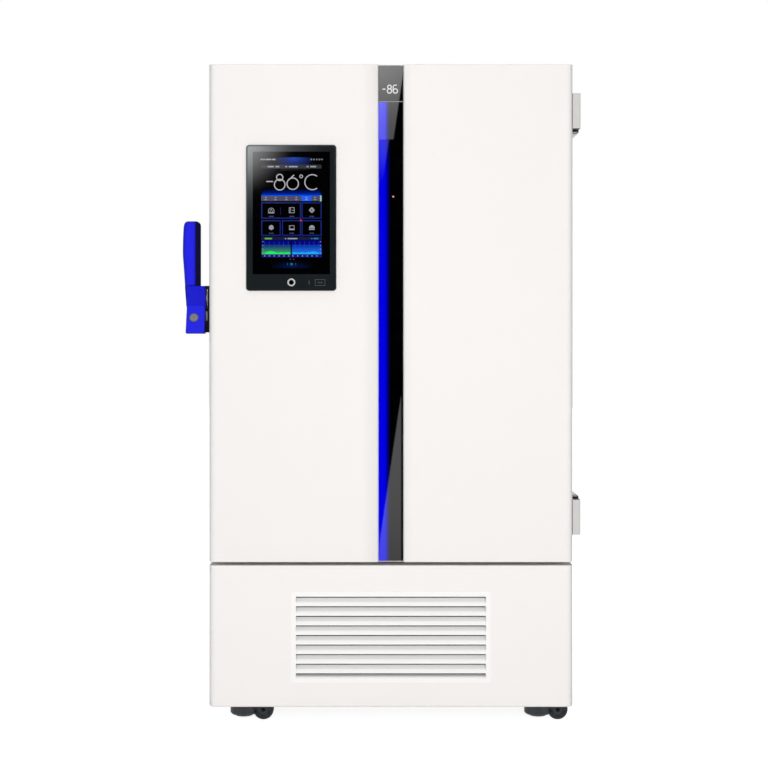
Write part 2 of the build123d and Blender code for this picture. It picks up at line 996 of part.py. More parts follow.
def inner_doors():
    middle = (chamber_bottom + chamber_top) / 2
    end = inner_lug_height + inner_door_play
    half_rail = rail_height / 2 + inner_door_play
    lower = inner_door(chamber_bottom + end, middle - half_rail)
    upper = inner_door(middle + half_rail, chamber_top - end)
    return lower, upper


def shelf_heights():
    spacing = (chamber_top - chamber_bottom) / (shelf_count + 1)
    return [chamber_bottom + spacing * (i + 1) for i in range(shelf_count)]


def shelves():
    half = chamber_side - pilaster_depth - shelf_side_gap
    columns = shelf_slot_columns // 2
    front = shell_front + shelf_front
    back = chamber_back - shelf_gap
    pieces = []
    for z in shelf_heights():
        outline = [
            (front, z - shelf_fold),
            (front + shelf_sheet, z - shelf_fold),
            (front + shelf_sheet, z),
            (back - shelf_sheet, z),
            (back - shelf_sheet, z - shelf_fold),
            (back, z - shelf_fold),
            (back, z + shelf_sheet),
            (front, z + shelf_sheet),
        ]
        shelf = profile_x(outline, -half, half)
        for column in range(-columns, columns + 1):
            x = column * shelf_slot_step
            for row in range(shelf_slot_rows):
                y = front + shelf_slot_margin + row * shelf_slot_pitch
                shelf -= block(
                    x - shelf_slot_length / 2,
                    x + shelf_slot_length / 2,
                    y,
                    y + shelf_slot_width,
                    z - 1,
                    z + shelf_sheet + 1,
                )
        pieces.append(shelf)
    return group(pieces)


def shelf_supports():
    pieces = []
    low = chamber_bottom + pilaster_margin
    high = chamber_top - pilaster_margin
    web = pilaster_width - pilaster_flange
    inner = chamber_side - pilaster_depth
    for sign in (-1, 1):
        for y in (shell_front + pilaster_front, chamber_back - pilaster_rear):
            strip = block(inner, chamber_side, y, y + pilaster_width, low, high)
            strip -= block(
                inner + pilaster_wall, chamber_side, y + pilaster_flange, y + web, low - 1, high + 1
            )
            for z in shelf_heights():
                strip += block(
                    inner - clip_reach, inner, y + pilaster_flange, y + web, z - clip_height, z
                )
            pieces.append(strip if sign > 0 else mirror(strip, about=Plane.YZ))
    return group(pieces)


def caster_places():
    x = side - caster_side
    return [(-x, caster_front), (x, caster_front), (-x, caster_back), (x, caster_back)]


def pan_section(inset):
    """The folded pan seen from above, with front corners that follow the panel's."""
    half = side - sheet - pan_fit - inset
    front = sheet + pan_fit + inset
    back = shell_back - sheet - pan_fit - inset
    section = make_face(Polyline((-half, back), (-half, front), (half, front), (half, back), close=True))
    return fillet(corners(section, [(-half, front), (half, front)]), radius=edge_radius - inset)


def base_frame():
    half = side - sheet - pan_fit
    frame = extrude(Pos(0, 0, pan_height) * pan_section(0), amount=pan_sheet + pan_rim)
    frame -= extrude(Pos(0, 0, pan_top) * pan_section(pan_sheet), amount=pan_rim + 1)
    reach = caster_plate / 2
    for x, y in caster_places():
        outer = min(x + reach, half)
        inner = max(x - reach, -half)
        frame += block(inner, outer, y - reach, y + reach, fork_top + caster_clearance, pan_height)
        frame -= rod_z(stem_radius + stem_running, x, y, fork_top, pan_top + 1)
    front = caster_front + bearer_setback
    back = caster_back - bearer_setback
    for x in (-side / 3, side / 3):
        left = x - bearer_width / 2
        frame += block(left, left + bearer_width, front, back, pan_height - bearer_height, pan_height)
    return frame


def caster_fork(x, y, levelling):
    """Round body about the swivel axis, two cheeks that carry the wheel beside it."""
    gap = wheel_width / 2 + wheel_gap
    outer = gap + fork_cheek
    wheel_x = x + caster_trail
    low = fork_low if levelling else wheel_radius + fork_rear_rise
    body = rod_z(fork_radius, x, y, low, fork_top)
    body = chamfer(body.faces().sort_by(Axis.Z)[0].edges(), length=fork_chamfer)
    body += block(x, wheel_x, y - outer, y + outer, wheel_radius, fork_top - fork_shoulder)
    body += rod_y(cheek_radius, wheel_x, y - outer, y + outer, wheel_radius)
    body -= rod_y(wheel_radius + wheel_room, wheel_x, y - gap, y + gap, wheel_radius)
    body -= block(wheel_x, wheel_x + 2 * wheel_radius, y - gap, y + gap, 0, fork_top + 1)
    body += rod_y(axle_radius, wheel_x, y - outer, y + outer, wheel_radius)
    body += rod_z(stem_radius, x, y, fork_top, pan_top)
    if levelling:
        well = foot_rise + foot_height + foot_end_gap
        body -= rod_z(foot_radius + foot_clearance, x, y, 0, well)
        body -= rod_z(foot_stem_radius + stem_running, x, y, 0, fork_top - foot_bridge)
    return body


def caster_wheel(x, y):
    half = wheel_width / 2
    wheel = Cylinder(wheel_radius, wheel_width)
    wheel = chamfer(wheel.edges().filter_by(GeomType.CIRCLE), length=wheel_chamfer)
    for end in (-1, 1):
        wheel -= Pos(0, 0, end * half) * Cylinder(wheel_radius - wheel_rim, 2 * wheel_dish)
    wheel -= Cylinder(axle_radius + axle_running, wheel_width + 2)
    return Pos(x + caster_trail, y, wheel_radius) * Rot(90, 0, 0) * wheel


def levelling_foot(x, y):
    disc = rod_z(foot_radius, x, y, foot_rise, foot_rise + foot_height)
    disc = chamfer(disc.faces().sort_by(Axis.Z)[0].edges(), length=foot_chamfer)
    top = fork_top - foot_bridge - foot_rise - foot_end_gap
    return disc + rod_z(foot_stem_radius, x, y, foot_rise + foot_height, top)


def air_filter():
    x = filter_width / 2
    z = grille_bottom + (grille_height - filter_height) / 2
    y = grille_sleeve
    end = y + filter_depth
    top = z + filter_height
    rim = filter_rim
    frame = block(-x, x, y, end, z, top)
    frame -= block(rim - x, x - rim, y - 1, y + filter_recess, z + rim, top - rim)
    return frame - block(rim - x, x - rim, end - filter_recess, end + 1, z + rim, top - rim)


def coil_bottom():
    return grille_bottom + (grille_height - coil_height) / 2


def condenser_coil():
    """Finned core with return bends at its ends and two feet."""
    half = coil_width / 2
    low = coil_bottom()
    high = low + coil_height
    front = coil_setback
    back = front + coil_depth
    core = block(-half, half, front, back, low, high)
    count = int((coil_width - coil_margin) / fin_pitch)
    first = -fin_pitch * (count - 1) / 2
    for i in range(count):
        x = first + i * fin_pitch
        end = x + fin_groove
        core -= block(x, end, front - 1, front + fin_groove_depth, low + fin_margin, high - fin_margin)
        core -= block(x, end, back - fin_groove_depth, back + 1, low + fin_margin, high - fin_margin)
    spacing = coil_height / tube_rows
    y = (front + back) / 2
    for end in (-1, 1):
        first_row = 0.5 if end < 0 else 1.5
        for i in range(tube_rows // 2 - (1 if end > 0 else 0)):
            z = low + spacing * (first_row + 2 * i)
            section = Plane(origin=(end * half, y, z), z_dir=(1, 0, 0)) * RegularPolygon(tube_radius, tube_sides)
            turn = Axis((end * half, y, z + spacing / 2), (0, -end, 0))
            core += revolve(section, axis=turn, revolution_arc=180)
    feet = block(-half, half, front, back, pan_top, low)
    room = half - coil_foot
    return core + feet - block(-room, room, front - 1, back + 1, pan_top - 1, low - coil_foot_sheet)


def fan_place():
    return coil_bottom() + coil_height / 2


def fan_shroud():
    half = coil_width / 2
    low = coil_bottom()
    front = coil_setback + coil_depth
    back = front + shroud_depth
    z = fan_place()
    wall = shroud_sheet
    hood = block(-half, half, front, back, low, low + coil_height)
    hood -= block(-half + wall, half - wall, front - 1, back - wall, low + wall, low + coil_height - wall)
    mouth = fan_radius + fan_tip_gap
    hood += rod_y(mouth + wall, 0, back - wall, back + fan_depth, z)
    return hood - rod_y(mouth, 0, back - wall - 1, back + fan_depth + 1, z)


def fan_front():
    return coil_setback + coil_depth + shroud_depth


def fan_blade():
    z = fan_place()
    front = fan_front() - fan_overlap
    hub = Cylinder(fan_hub_radius, fan_depth)
    hub = chamfer(hub.faces().sort_by(Axis.Z)[-1].edges(), length=fan_hub_chamfer)
    length = fan_radius - fan_hub_radius + fan_blade_root
    blade = Pos(fan_radius - length / 2, 0, 0) * Rot(fan_blade_pitch, 0, 0)
    blade = blade * Box(length, fan_blade_width, fan_blade_sheet)
    for i in range(fan_blades):
        hub += Rot(0, 0, i * 360 / fan_blades) * blade
    hub = hub & Cylinder(fan_radius, fan_depth)
    hub -= Cylinder(fan_shaft_radius + fan_running, fan_depth + 2)
    return Pos(0, front + fan_depth / 2, z) * Rot(90, 0, 0) * hub


def fan_motor():
    """Motor on a crossed spider that seats on the shroud's collar."""
    z = fan_place()
    seat = fan_front() + fan_depth
    start = seat + spider_sheet
    rim = fan_radius + fan_tip_gap + shroud_sheet
    motor = rod_y(motor_radius, 0, start, start + motor_length, z)
    motor = chamfer(motor.edges().filter_by(GeomType.CIRCLE), length=motor_chamfer)
    spider = rod_y(rim, 0, seat, start, z) - rod_y(rim - spider_rim, 0, seat - 1, start + 1, z)
    for angle in (45, 135):
        arm = Box(2 * rim - spider_rim, spider_sheet, spider_arm)
        spider += Pos(0, seat + spider_sheet / 2, z) * Rot(0, angle, 0) * arm
    return motor + spider + rod_y(fan_shaft_radius, 0, fan_front(), start, z)


def compressor(x, y, radius, height):
    """A hermetic compressor: drawn shell in two halves, mounting plate, rubber feet."""
    low = pan_top + compressor_rise
    can = Pos(0, 0, height / 2) * Cylinder(radius, height)
    can = chamfer(can.faces().sort_by(Axis.Z)[-1].edges(), length=radius * compressor_crown)
    can = chamfer(can.faces().sort_by(Axis.Z)[0].edges(), length=radius * compressor_base)
    can += Pos(0, 0, height * compressor_seam_share) * Cylinder(radius + compressor_seam_proud, compressor_seam)
    can += Pos(0, -radius, height * terminal_share) * Box(terminal_width, 2 * terminal_depth, terminal_height)
    reach = radius + compressor_plate
    can += extrude(Rectangle(2 * reach, 2 * reach), amount=compressor_plate_sheet)
    corner = reach - compressor_foot_inset
    for sx in (-1, 1):
        for sy in (-1, 1):
            foot = Box(compressor_foot_side, compressor_foot_side, compressor_rise)
            can += Pos(sx * corner, sy * corner, -compressor_rise / 2) * foot
    return Pos(x, y, low) * can


def control_box():
    right = side - control_side
    left = right - control_width
    back = shell_back - control_back
    front = back - control_depth
    top = pan_top + control_height
    lap = control_lid_lap
    box = block(left, right, front, back, pan_top, top)
    box = fillet(box.edges().filter_by(Axis.Z), radius=control_corner)
    return box + block(left - lap, right + lap, front - lap, back + lap, top, top + control_lid)


def pipe(points, radius, bend):
    path = FilletPolyline(*points, radius=bend)
    start = Plane(origin=path @ 0, z_dir=path % 0)
    return sweep(start * RegularPolygon(radius, pipe_sides), path=path)


def refrigerant_pipes():
    """Discharge, suction and liquid lines, the liquid line from its filter drier."""
    high_y = shell_front + high_stage_setback
    low_y = shell_front + low_stage_setback
    base = pan_top + compressor_rise
    roof = foam_bottom - tray_sheet
    riser = foam_bottom - pipe_drop
    discharge_x = high_stage_x - high_stage_radius - pipe_offset
    condenser_y = coil_setback + coil_depth / 2
    discharge = pipe(
        [
            (high_stage_x - high_stage_radius, high_y, base + pipe_low),
            (discharge_x, high_y, base + pipe_low),
            (discharge_x, high_y, base + pipe_high),
            (discharge_x, condenser_y, base + pipe_high),
            (-coil_width / 2, condenser_y, base + pipe_high),
        ],
        thin_pipe_radius,
        thin_pipe_bend,
    )
    suction_x = low_stage_x + low_stage_radius + pipe_offset
    suction = pipe(
        [
            (low_stage_x + low_stage_radius, low_y, base + pipe_low),
            (suction_x, low_y, base + pipe_low),
            (suction_x, low_y, riser),
            (suction_x, low_y + suction_run, riser),
            (suction_x, low_y + suction_run, roof),
        ],
        thick_pipe_radius,
        thick_pipe_bend,
    )
    drier_x = -coil_width / 2 - drier_side
    drier_top = pan_top + drier_length
    drier = rod_z(drier_radius, drier_x, high_y, pan_top, drier_top)
    drier = chamfer(drier.edges().filter_by(GeomType.CIRCLE), length=drier_chamfer)
    liquid = pipe(
        [
            (drier_x, high_y, drier_top),
            (drier_x, high_y, riser - liquid_drop),
            (drier_x, high_y + liquid_run, riser - liquid_drop),
            (drier_x, high_y + liquid_run, roof),
        ],
        thin_pipe_radius,
        thin_pipe_bend,
    )
    return group([discharge, suction, drier + liquid])


def inlet_place():
    return inlet_side - side, pan_top + pan_rim + inlet_rise


def mains_inlet():
    x, z = inlet_place()
    back = shell_back + inlet_flange_sheet
    half_flange = inlet_flange_width / 2
    rise = inlet_flange_height / 2
    half = inlet_width / 2
    tall = inlet_height / 2
    wall = inlet_wall
    well = shell_back - inlet_well
    body = rounded_y(
        x - half_flange, x + half_flange, shell_back, back, z - rise, z + rise, inlet_flange_corner
    )
    body += block(x - half, x + half, shell_back - inlet_depth, shell_back, z - tall, z + tall)
    body -= block(x - half + wall, x + half - wall, well, back + 1, z - tall + wall, z + tall - wall)
    for step in (-1, 0, 1):
        left = x + step * pin_pitch - pin_width / 2
        body += block(left, left + pin_width, well, shell_back, z - pin_height / 2, z + pin_height / 2)
    return body


def inlet_hole():
    x, z = inlet_place()
    half = inlet_width / 2
    tall = inlet_height / 2
    return block(x - half, x + half, shell_back - sheet - 1, shell_back + 1, z - tall, z + tall)


strip, strip_light, strip_display = strip_parts()
screen_housing, screen_glass, screen_panel, home_button = screen_parts()
handle_grip, grip_liner = grip_parts()
inner_door_lower, inner_door_upper = inner_doors()
high_stage = compressor(high_stage_x, shell_front + high_stage_setback, high_stage_radius, high_stage_height)
low_stage = compressor(low_stage_x, shell_front + low_stage_setback, low_stage_radius, low_stage_height)

nodes = {
    "cabinet_shell": cabinet_shell(),
    "rear_panel": rear_panel() - inlet_hole(),
    "foam_tray": foam_tray(),
    "insulation_foam": insulation_foam(),
    "inner_liner": inner_liner(),
    "breaker_frame": breaker_frame(),
    "centre_rail": centre_rail(),
    "shelf_supports": shelf_supports(),
    "shelves": shelves(),
    "base_frame": base_frame(),
    "service_panel": service_panel(),
    "grille": grille(),
    "air_filter": air_filter(),
    "condenser_coil": condenser_coil(),
    "fan_shroud": fan_shroud(),
    "fan_motor": fan_motor(),
    "compressor_high_stage": high_stage,
    "compressor_low_stage": low_stage,
    "refrigerant_pipes": refrigerant_pipes(),
    "control_box": control_box(),
    "port_plug": port_plug(),
    "mains_inlet": mains_inlet(),
    "hinge_brackets": hinge_set(hinge_bracket()),
    "hinge_pins": hinge_set(hinge_pin()),
    "latch_striker": latch_striker(),
    "door_shell": door_shell(),
    "door_foam": door_foam(),
    "door_liner": door_liner(),
    "door_gasket": door_gasket(),
    "centre_strip": strip,
    "strip_light": strip_light,
    "strip_display": strip_display,
    "screen_housing": screen_housing,
    "screen_panel": screen_panel,
    "screen_glass": screen_glass,
    "hinge_leaves": hinge_set(hinge_leaf()),
    "hinge_covers": hinge_set(hinge_cover()),
    "latch_base": latch_base(),
    "lever_pivot": lever_pivot(),
    "handle_housing": handle_housing(),
    "handle_grip": handle_grip,
    "grip_liner": grip_liner,
    "latch_cam": latch_cam(),
    "lock_core": lock_core(),
    "home_button": home_button,
    "inner_door_lower": inner_door_lower,
    "inner_door_upper": inner_door_upper,
    "fan_blade": fan_blade(),
}
for name, (x, y) in zip(("front_left", "front_right", "rear_left", "rear_right"), caster_places()):
    levelling = y == caster_front
    nodes[f"caster_fork_{name}"] = caster_fork(x, y, levelling)
    nodes[f"caster_wheel_{name}"] = caster_wheel(x, y)
    if levelling:
        nodes[f"levelling_foot_{name}"] = levelling_foot(x, y)

boxes = [shape.bounding_box() for shape in nodes.values()]
origin_x = (min(box.min.X for box in boxes) + max(box.max.X for box in boxes)) / 2
origin_y = (min(box.min.Y for box in boxes) + max(box.max.Y for box in boxes)) / 2

for name, shape in nodes.items():
    export_step(Pos(-origin_x, -origin_y, 0) * shape, f"parts/{name}.step")
print(len(nodes), "sub-parts, origin at", round(origin_x, 3), round(origin_y, 3))
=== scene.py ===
import math

import bmesh
import bpy
from mathutils import Matrix, Vector


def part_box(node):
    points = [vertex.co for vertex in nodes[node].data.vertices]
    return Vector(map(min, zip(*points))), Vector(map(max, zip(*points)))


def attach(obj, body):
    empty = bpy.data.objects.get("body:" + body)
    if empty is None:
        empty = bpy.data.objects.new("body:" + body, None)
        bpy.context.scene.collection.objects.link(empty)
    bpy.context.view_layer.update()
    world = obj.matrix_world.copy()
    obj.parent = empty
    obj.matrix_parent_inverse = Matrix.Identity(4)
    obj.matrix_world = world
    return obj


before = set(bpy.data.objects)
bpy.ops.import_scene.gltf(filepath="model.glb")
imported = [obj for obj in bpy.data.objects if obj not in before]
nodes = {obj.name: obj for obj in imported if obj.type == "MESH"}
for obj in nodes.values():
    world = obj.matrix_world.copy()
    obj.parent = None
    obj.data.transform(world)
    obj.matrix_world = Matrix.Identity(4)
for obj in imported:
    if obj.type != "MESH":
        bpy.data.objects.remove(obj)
scene = bpy.context.scene
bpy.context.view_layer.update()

# Pieces are drawn in millimetres from the middle of the cabinet, the door's front and the floor
cabinetLow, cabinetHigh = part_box("cabinet_shell")
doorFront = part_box("door_shell")[0].y
drawingOrigin = Vector(((cabinetLow.x + cabinetHigh.x) / 2, doorFront, 0))
print("frame loaded,", len(nodes), "CAD nodes")


def fromFrame(name):
    # a CAD node's lowest and highest corner, in drawing millimetres
    low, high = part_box(name)
    return (low - drawingOrigin) * 1000, (high - drawingOrigin) * 1000


def toScene(point):
    # from drawing millimetres to the scene's metres
    return Vector(point) / 1000 + drawingOrigin


def straight(value):
    value /= 255
    return value / 12.92 if value <= 0.04045 else ((value + 0.055) / 1.055) ** 2.4


def colourOf(tone):
    # from 0 to 255 as a picture holds it, to the linear values that shaders take
    return (*(straight(value) for value in tone), 1)


# Small helpers for node trees. An input takes a value or another node's socket.
def fill(tree, socket, value):
    if isinstance(value, bpy.types.NodeSocket):
        tree.links.new(value, socket)
    else:
        socket.default_value = value


def addNode(tree, kind, inputs=(), **settings):
    node = tree.nodes.new(kind)
    node.location = (220 * len(tree.nodes), 0)
    for key, value in settings.items():
        setattr(node, key, value)
    for key, value in dict(inputs).items():
        fill(tree, node.inputs[key], value)
    return node


def addMath(tree, operation, *values, clamp=False):
    return addNode(tree, "ShaderNodeMath", enumerate(values), operation=operation, use_clamp=clamp).outputs[0]


def addVectorMath(tree, operation, *values):
    node = addNode(tree, "ShaderNodeVectorMath", enumerate(values), operation=operation)
    return node.outputs["Value" if operation in ("DOT_PRODUCT", "DISTANCE", "LENGTH") else "Vector"]


def addRange(tree, value, low, high, start=0.0, end=1.0, **settings):
    # carries a value from between low and high over to between start and end
    inputs = {"Value": value, "From Min": low, "From Max": high, "To Min": start, "To Max": end}
    return addNode(tree, "ShaderNodeMapRange", inputs, **settings).outputs[0]


def addMix(tree, mask, outside, inside):
    inputs = {"Factor": mask, "A": outside, "B": inside}
    return addNode(tree, "ShaderNodeMix", inputs, data_type="RGBA").outputs["Result"]


def addNoise(tree, where, scale, detail, rough=0.5):
    inputs = {"Vector": where, "Scale": scale, "Detail": detail, "Roughness": rough}
    return addNode(tree, "ShaderNodeTexNoise", inputs).outputs["Fac"]


def addBevel(tree, radius, samples=6):
    return addNode(tree, "ShaderNodeBevel", {"Radius": radius}, samples=samples).outputs["Normal"]


def addGroup(tree, group, inputs):
    return addNode(tree, "ShaderNodeGroup", inputs, node_tree=group).outputs


def axesOf(tree, vector):
    return addNode(tree, "ShaderNodeSeparateXYZ", {0: vector}).outputs


def newGroup(name, inputs, outputs):
    # gives the group, the sockets that enter it and the sockets that leave it
    group = bpy.data.node_groups.new(name, "ShaderNodeTree")
    for label, value in inputs.items():
        kind = "Float" if isinstance(value, float) else "Color" if len(value) == 4 else "Vector"
        socket = group.interface.new_socket(name=label, in_out="INPUT", socket_type="NodeSocket" + kind)
        socket.default_value = value
    for label, kind in outputs.items():
        group.interface.new_socket(name=label, in_out="OUTPUT", socket_type="NodeSocket" + kind)
    return group, addNode(group, "NodeGroupInput").outputs, addNode(group, "NodeGroupOutput").inputs


def makeSurfaceDetail():
    # slow clouds of tone, fine grain, and dust on what faces up
    group, entry, leave = newGroup("surfaceDetail", {
        "Vector": (0.0, 0.0, 0.0), "Colour": (0.8, 0.8, 0.8, 1), "Cloud Colour": (0.7, 0.7, 0.7, 1),
        "Cloud Scale": 3.0, "Cloud Amount": 0.2, "Grain Scale": 600.0, "Grain Amount": 0.05, "Roughness": 0.4,
        "Roughness Spread": 0.08, "Dust": 0.0}, {"Colour": "Color", "Roughness": "Float", "Height": "Float"})
    where = entry["Vector"]
    clouds = addMath(group, "MULTIPLY", addNoise(group, where, entry["Cloud Scale"], 3.0, 0.55),
                     entry["Cloud Amount"])
    tone = addMix(group, clouds, entry["Colour"], entry["Cloud Colour"])
    grain = addNoise(group, where, entry["Grain Scale"], 2.0, 0.6)
    centred = addMath(group, "SUBTRACT", grain, 0.5)
    speckle = addMath(group, "MULTIPLY", centred, entry["Grain Amount"])
    grained = addNode(group, "ShaderNodeBrightContrast", {"Color": tone, "Bright": speckle}).outputs["Color"]

    upward = axesOf(group, addNode(group, "ShaderNodeNewGeometry").outputs["Normal"])["Z"]
    facingUp = addRange(group, upward, 0.6, 1.0)
    spots = addMath(group, "MULTIPLY", addNoise(group, where, 45.0, 6.0, 0.7), facingUp)
    dust = addMath(group, "MULTIPLY", spots, entry["Dust"])
    fill(group, leave["Colour"], addMix(group, dust, grained, (0.52, 0.5, 0.47, 1)))
    rough = addMath(group, "ADD", entry["Roughness"],
                    addMath(group, "MULTIPLY", centred, entry["Roughness Spread"]))
    fill(group, leave["Roughness"], addMath(group, "MULTIPLY_ADD", dust, 0.4, rough, clamp=True))
    fill(group, leave["Height"], grain)
    return group


def makeEdgeWear():
    # a mask along edges, broken up by noise
    group, entry, leave = newGroup("edgeWear", {
        "Vector": (0.0, 0.0, 0.0), "Radius": 0.002, "Amount": 0.5, "Break Scale": 60.0}, {"Mask": "Float"})
    sharp = addNode(group, "ShaderNodeNewGeometry").outputs["Normal"]
    match = addVectorMath(group, "DOT_PRODUCT", addBevel(group, entry["Radius"], 4), sharp)
    broken = addRange(group, addNoise(group, entry["Vector"], entry["Break Scale"], 4.0), 0.4, 0.65)
    both = addMath(group, "MULTIPLY", addRange(group, match, 0.995, 0.85), broken)
    fill(group, leave["Mask"], addMath(group, "MULTIPLY", both, entry["Amount"], clamp=True))
    return group


def makeBrushedGrain():
    # fine scratches drawn out along one direction
    group, entry, leave = newGroup("brushedGrain", {
        "Vector": (0.0, 0.0, 0.0), "Stretch": (1.0, 1.0, 60.0), "Scale": 40.0, "Roughness": 0.3,
        "Spread": 0.2},
        {"Factor": "Float", "Roughness": "Float"})
    stretched = addVectorMath(group, "MULTIPLY", entry["Vector"], entry["Stretch"])
    lines = addNoise(group, stretched, entry["Scale"], 5.0, 0.65)
    centred = addMath(group, "SUBTRACT", lines, 0.5)
    rough = addMath(group, "MULTIPLY_ADD", centred, entry["Spread"], entry["Roughness"], clamp=True)
    fill(group, leave["Factor"], lines)
    fill(group, leave["Roughness"], rough)
    return group


def makeBoxMask():
    # 1 inside an upright box given by its middle and half size, 0 outside
    group, entry, leave = newGroup("boxMask", {
        "Vector": (0.0, 0.0, 0.0), "Middle": (0.0, 0.0, 0.0), "Half Size": (0.1, 0.1, 0.1),
        "Softness": 0.0006}, {"Mask": "Float"})
    shifted = addVectorMath(group, "SUBTRACT", entry["Vector"], entry["Middle"])
    past = axesOf(group, addVectorMath(group, "SUBTRACT", addVectorMath(group, "ABSOLUTE", shifted),
                                       entry["Half Size"]))
    furthest = addMath(group, "MAXIMUM", addMath(group, "MAXIMUM", past["X"], past["Y"]), past["Z"])
    share = addMath(group, "DIVIDE", furthest, entry["Softness"])
    fill(group, leave["Mask"], addMath(group, "SUBTRACT", 0.5, share, clamp=True))
    return group


surfaceDetail = makeSurfaceDetail()
edgeWear = makeEdgeWear()
brushedGrain = makeBrushedGrain()
boxMask = makeBoxMask()
finishes = {}


def startMaterial(name, settings):
    material = finishes[name] = bpy.data.materials.new(name)
    material.use_nodes = True
    tree = material.node_tree
    shader = tree.nodes["Principled BSDF"].inputs
    for key, value in settings.items():
        shader[key].default_value = value
    return tree, shader, addNode(tree, "ShaderNodeTexCoord").outputs["Object"]


def addBoxMask(tree, where, low, high, softness=0.6):
    # corners and softness in drawing millimetres
    low, high = toScene(low), toScene(high)
    inputs = {"Vector": where, "Middle": (low + high) / 2, "Half Size": (high - low) / 2,
              "Softness": softness / 1000}
    return addGroup(tree, boxMask, inputs)["Mask"]


def addPool(tree, where, pool, top=1.0):
    # falls from the top near a point to the pool's end, or to 0, at its radius
    away = addVectorMath(tree, "DISTANCE", where, toScene(pool["middle"]))
    return addRange(tree, away, pool["near"] / 1000, pool["radius"] / 1000, top, pool.get("end", 0.0),
                    interpolation_type="SMOOTHSTEP")


def addBandMask(tree, where, bands):
    # level bands down from a first height, each from start to end of the pitch, inside a box
    first, pitch = bands["first"] / 1000, bands["pitch"] / 1000
    down = addRange(tree, axesOf(tree, where)["Z"], first, first - pitch, clamp=False)
    phase = addMath(tree, "FRACT", down)
    enter = addRange(tree, phase, bands["start"] - bands["soft"], bands["start"])
    leave = addRange(tree, phase, bands["end"], bands["end"] - bands["soft"])
    both = addMath(tree, "MULTIPLY", enter, leave)
    return addMath(tree, "MULTIPLY", both, addBoxMask(tree, where, bands["low"], bands["high"]))


def addTurnShade(tree, rim):
    # painted shade: rises where the rounded edges turn away from the view
    away = addNode(tree, "ShaderNodeLayerWeight", {"Normal": addBevel(tree, rim["radius"])})
    return addRange(tree, away.outputs["Facing"], rim["start"], rim["end"], 0.0, rim["amount"])


def addSideShade(tree, where, rim):
    # painted shade: 0 on flat faces, rising where the upright edges turn to the sides. Only the edges further
    # from the middle than a given distance have it.
    turned = addBevel(tree, rim["radius"])
    flat = addNode(tree, "ShaderNodeNewGeometry").outputs["True Normal"]
    bent = addRange(tree, addVectorMath(tree, "DOT_PRODUCT", turned, flat), 1.0, 0.985)
    own = addNode(tree, "ShaderNodeVectorTransform", {0: turned}, vector_type="NORMAL", convert_from="WORLD",
                  convert_to="OBJECT")
    lean = axesOf(tree, own.outputs[0])["X"]
    square = addMath(tree, "MULTIPLY", lean, lean)
    share = addRange(tree, square, rim["start"], rim["end"], 0.0, rim["amount"])
    shift = addMath(tree, "SUBTRACT", axesOf(tree, where)["X"], drawingOrigin.x)
    outer = addRange(tree, addMath(tree, "ABSOLUTE", shift), rim["beyond"] / 1000,
                     (rim["beyond"] + rim["ramp"]) / 1000)
    return addMath(tree, "MULTIPLY", addMath(tree, "MULTIPLY", share, bent), outer)


def makeFinish(name, colour, cloud=None, rough=0.4, metal=0.0, grainScale=500.0, grain=0.03, spread=0.08,
               cloudScale=3.0, cloudAmount=0.25, bump=0.00004, dust=0.0, wear=None, brush=None, softEdge=0.0,
               patch=None, pool=None, rim=None, bands=None, shine=0.5):
    # one finish with tone clouds, grain and dust, and then what the piece asks for: a brushed grain, a round
    # pool of painted reflection, bands of painted shade or a box (drawing millimetres) in another colour,
    # painted shade where the rounded edges turn away, worn edges, and edges that shade as if rounded
    tree, shader, where = startMaterial(name, {"Metallic": metal, "Specular IOR Level": shine})
    base = colourOf(colour)
    detail = addGroup(tree, surfaceDetail, {
        "Vector": where, "Colour": base, "Cloud Scale": cloudScale, "Cloud Amount": cloudAmount,
        "Cloud Colour": colourOf(cloud) if cloud else tuple(c * 0.8 for c in base[:3]) + (1,),
        "Grain Scale": grainScale, "Grain Amount": grain, "Roughness": rough, "Roughness Spread": spread,
        "Dust": dust})
    tone, gloss, height = detail["Colour"], detail["Roughness"], detail["Height"]
    if brush:
        drawn = addGroup(tree, brushedGrain, {"Vector": where, "Stretch": brush, "Roughness": rough,
                                              "Spread": spread})
        gloss, height = drawn["Roughness"], drawn["Factor"]
    layers = []
    if pool:
        layers.append((addPool(tree, where, pool), pool))
    if bands:
        layers.append((addBandMask(tree, where, bands), bands))
    if patch:
        mask = addBoxMask(tree, where, patch["low"], patch["high"], patch.get("softness", 0.6))
        layers.append((mask, patch))
    # painted shade on the rounded edges
    if rim:
        layers.append((addSideShade(tree, where, rim) if "beyond" in rim else addTurnShade(tree, rim), rim))
    if wear:
        worn = addGroup(tree, edgeWear, {"Vector": where, "Radius": wear["radius"], "Amount": wear["amount"]})
        layers.append((worn["Mask"], wear))
    for mask, layer in layers:
        tone = addMix(tree, mask, tone, colourOf(layer["colour"]))
    relief = {"Strength": 0.6, "Distance": bump, "Height": height}
    if softEdge:
        relief["Normal"] = addBevel(tree, softEdge)
    fill(tree, shader["Base Color"], tone)
    fill(tree, shader["Roughness"], gloss)
    fill(tree, shader["Normal"], addNode(tree, "ShaderNodeBump", relief).outputs["Normal"])


screenLow, screenHigh = fromFrame("screen_panel")
glassLow, glassHigh = fromFrame("screen_glass")
grilleLow, grilleHigh = fromFrame("grille")
glassFront = glassLow.y
paneFront = fromFrame("strip_display")[0].y
stripFront = fromFrame("centre_strip")[0].y
housingCrease = 1265.0  # where the latch housing's front starts to slope back
bracketFront = 104.0  # the arms are black up to here, and the plates behind are painted with the cabinet
grilleFrame = 13.0  # from the grille's edge to its opening
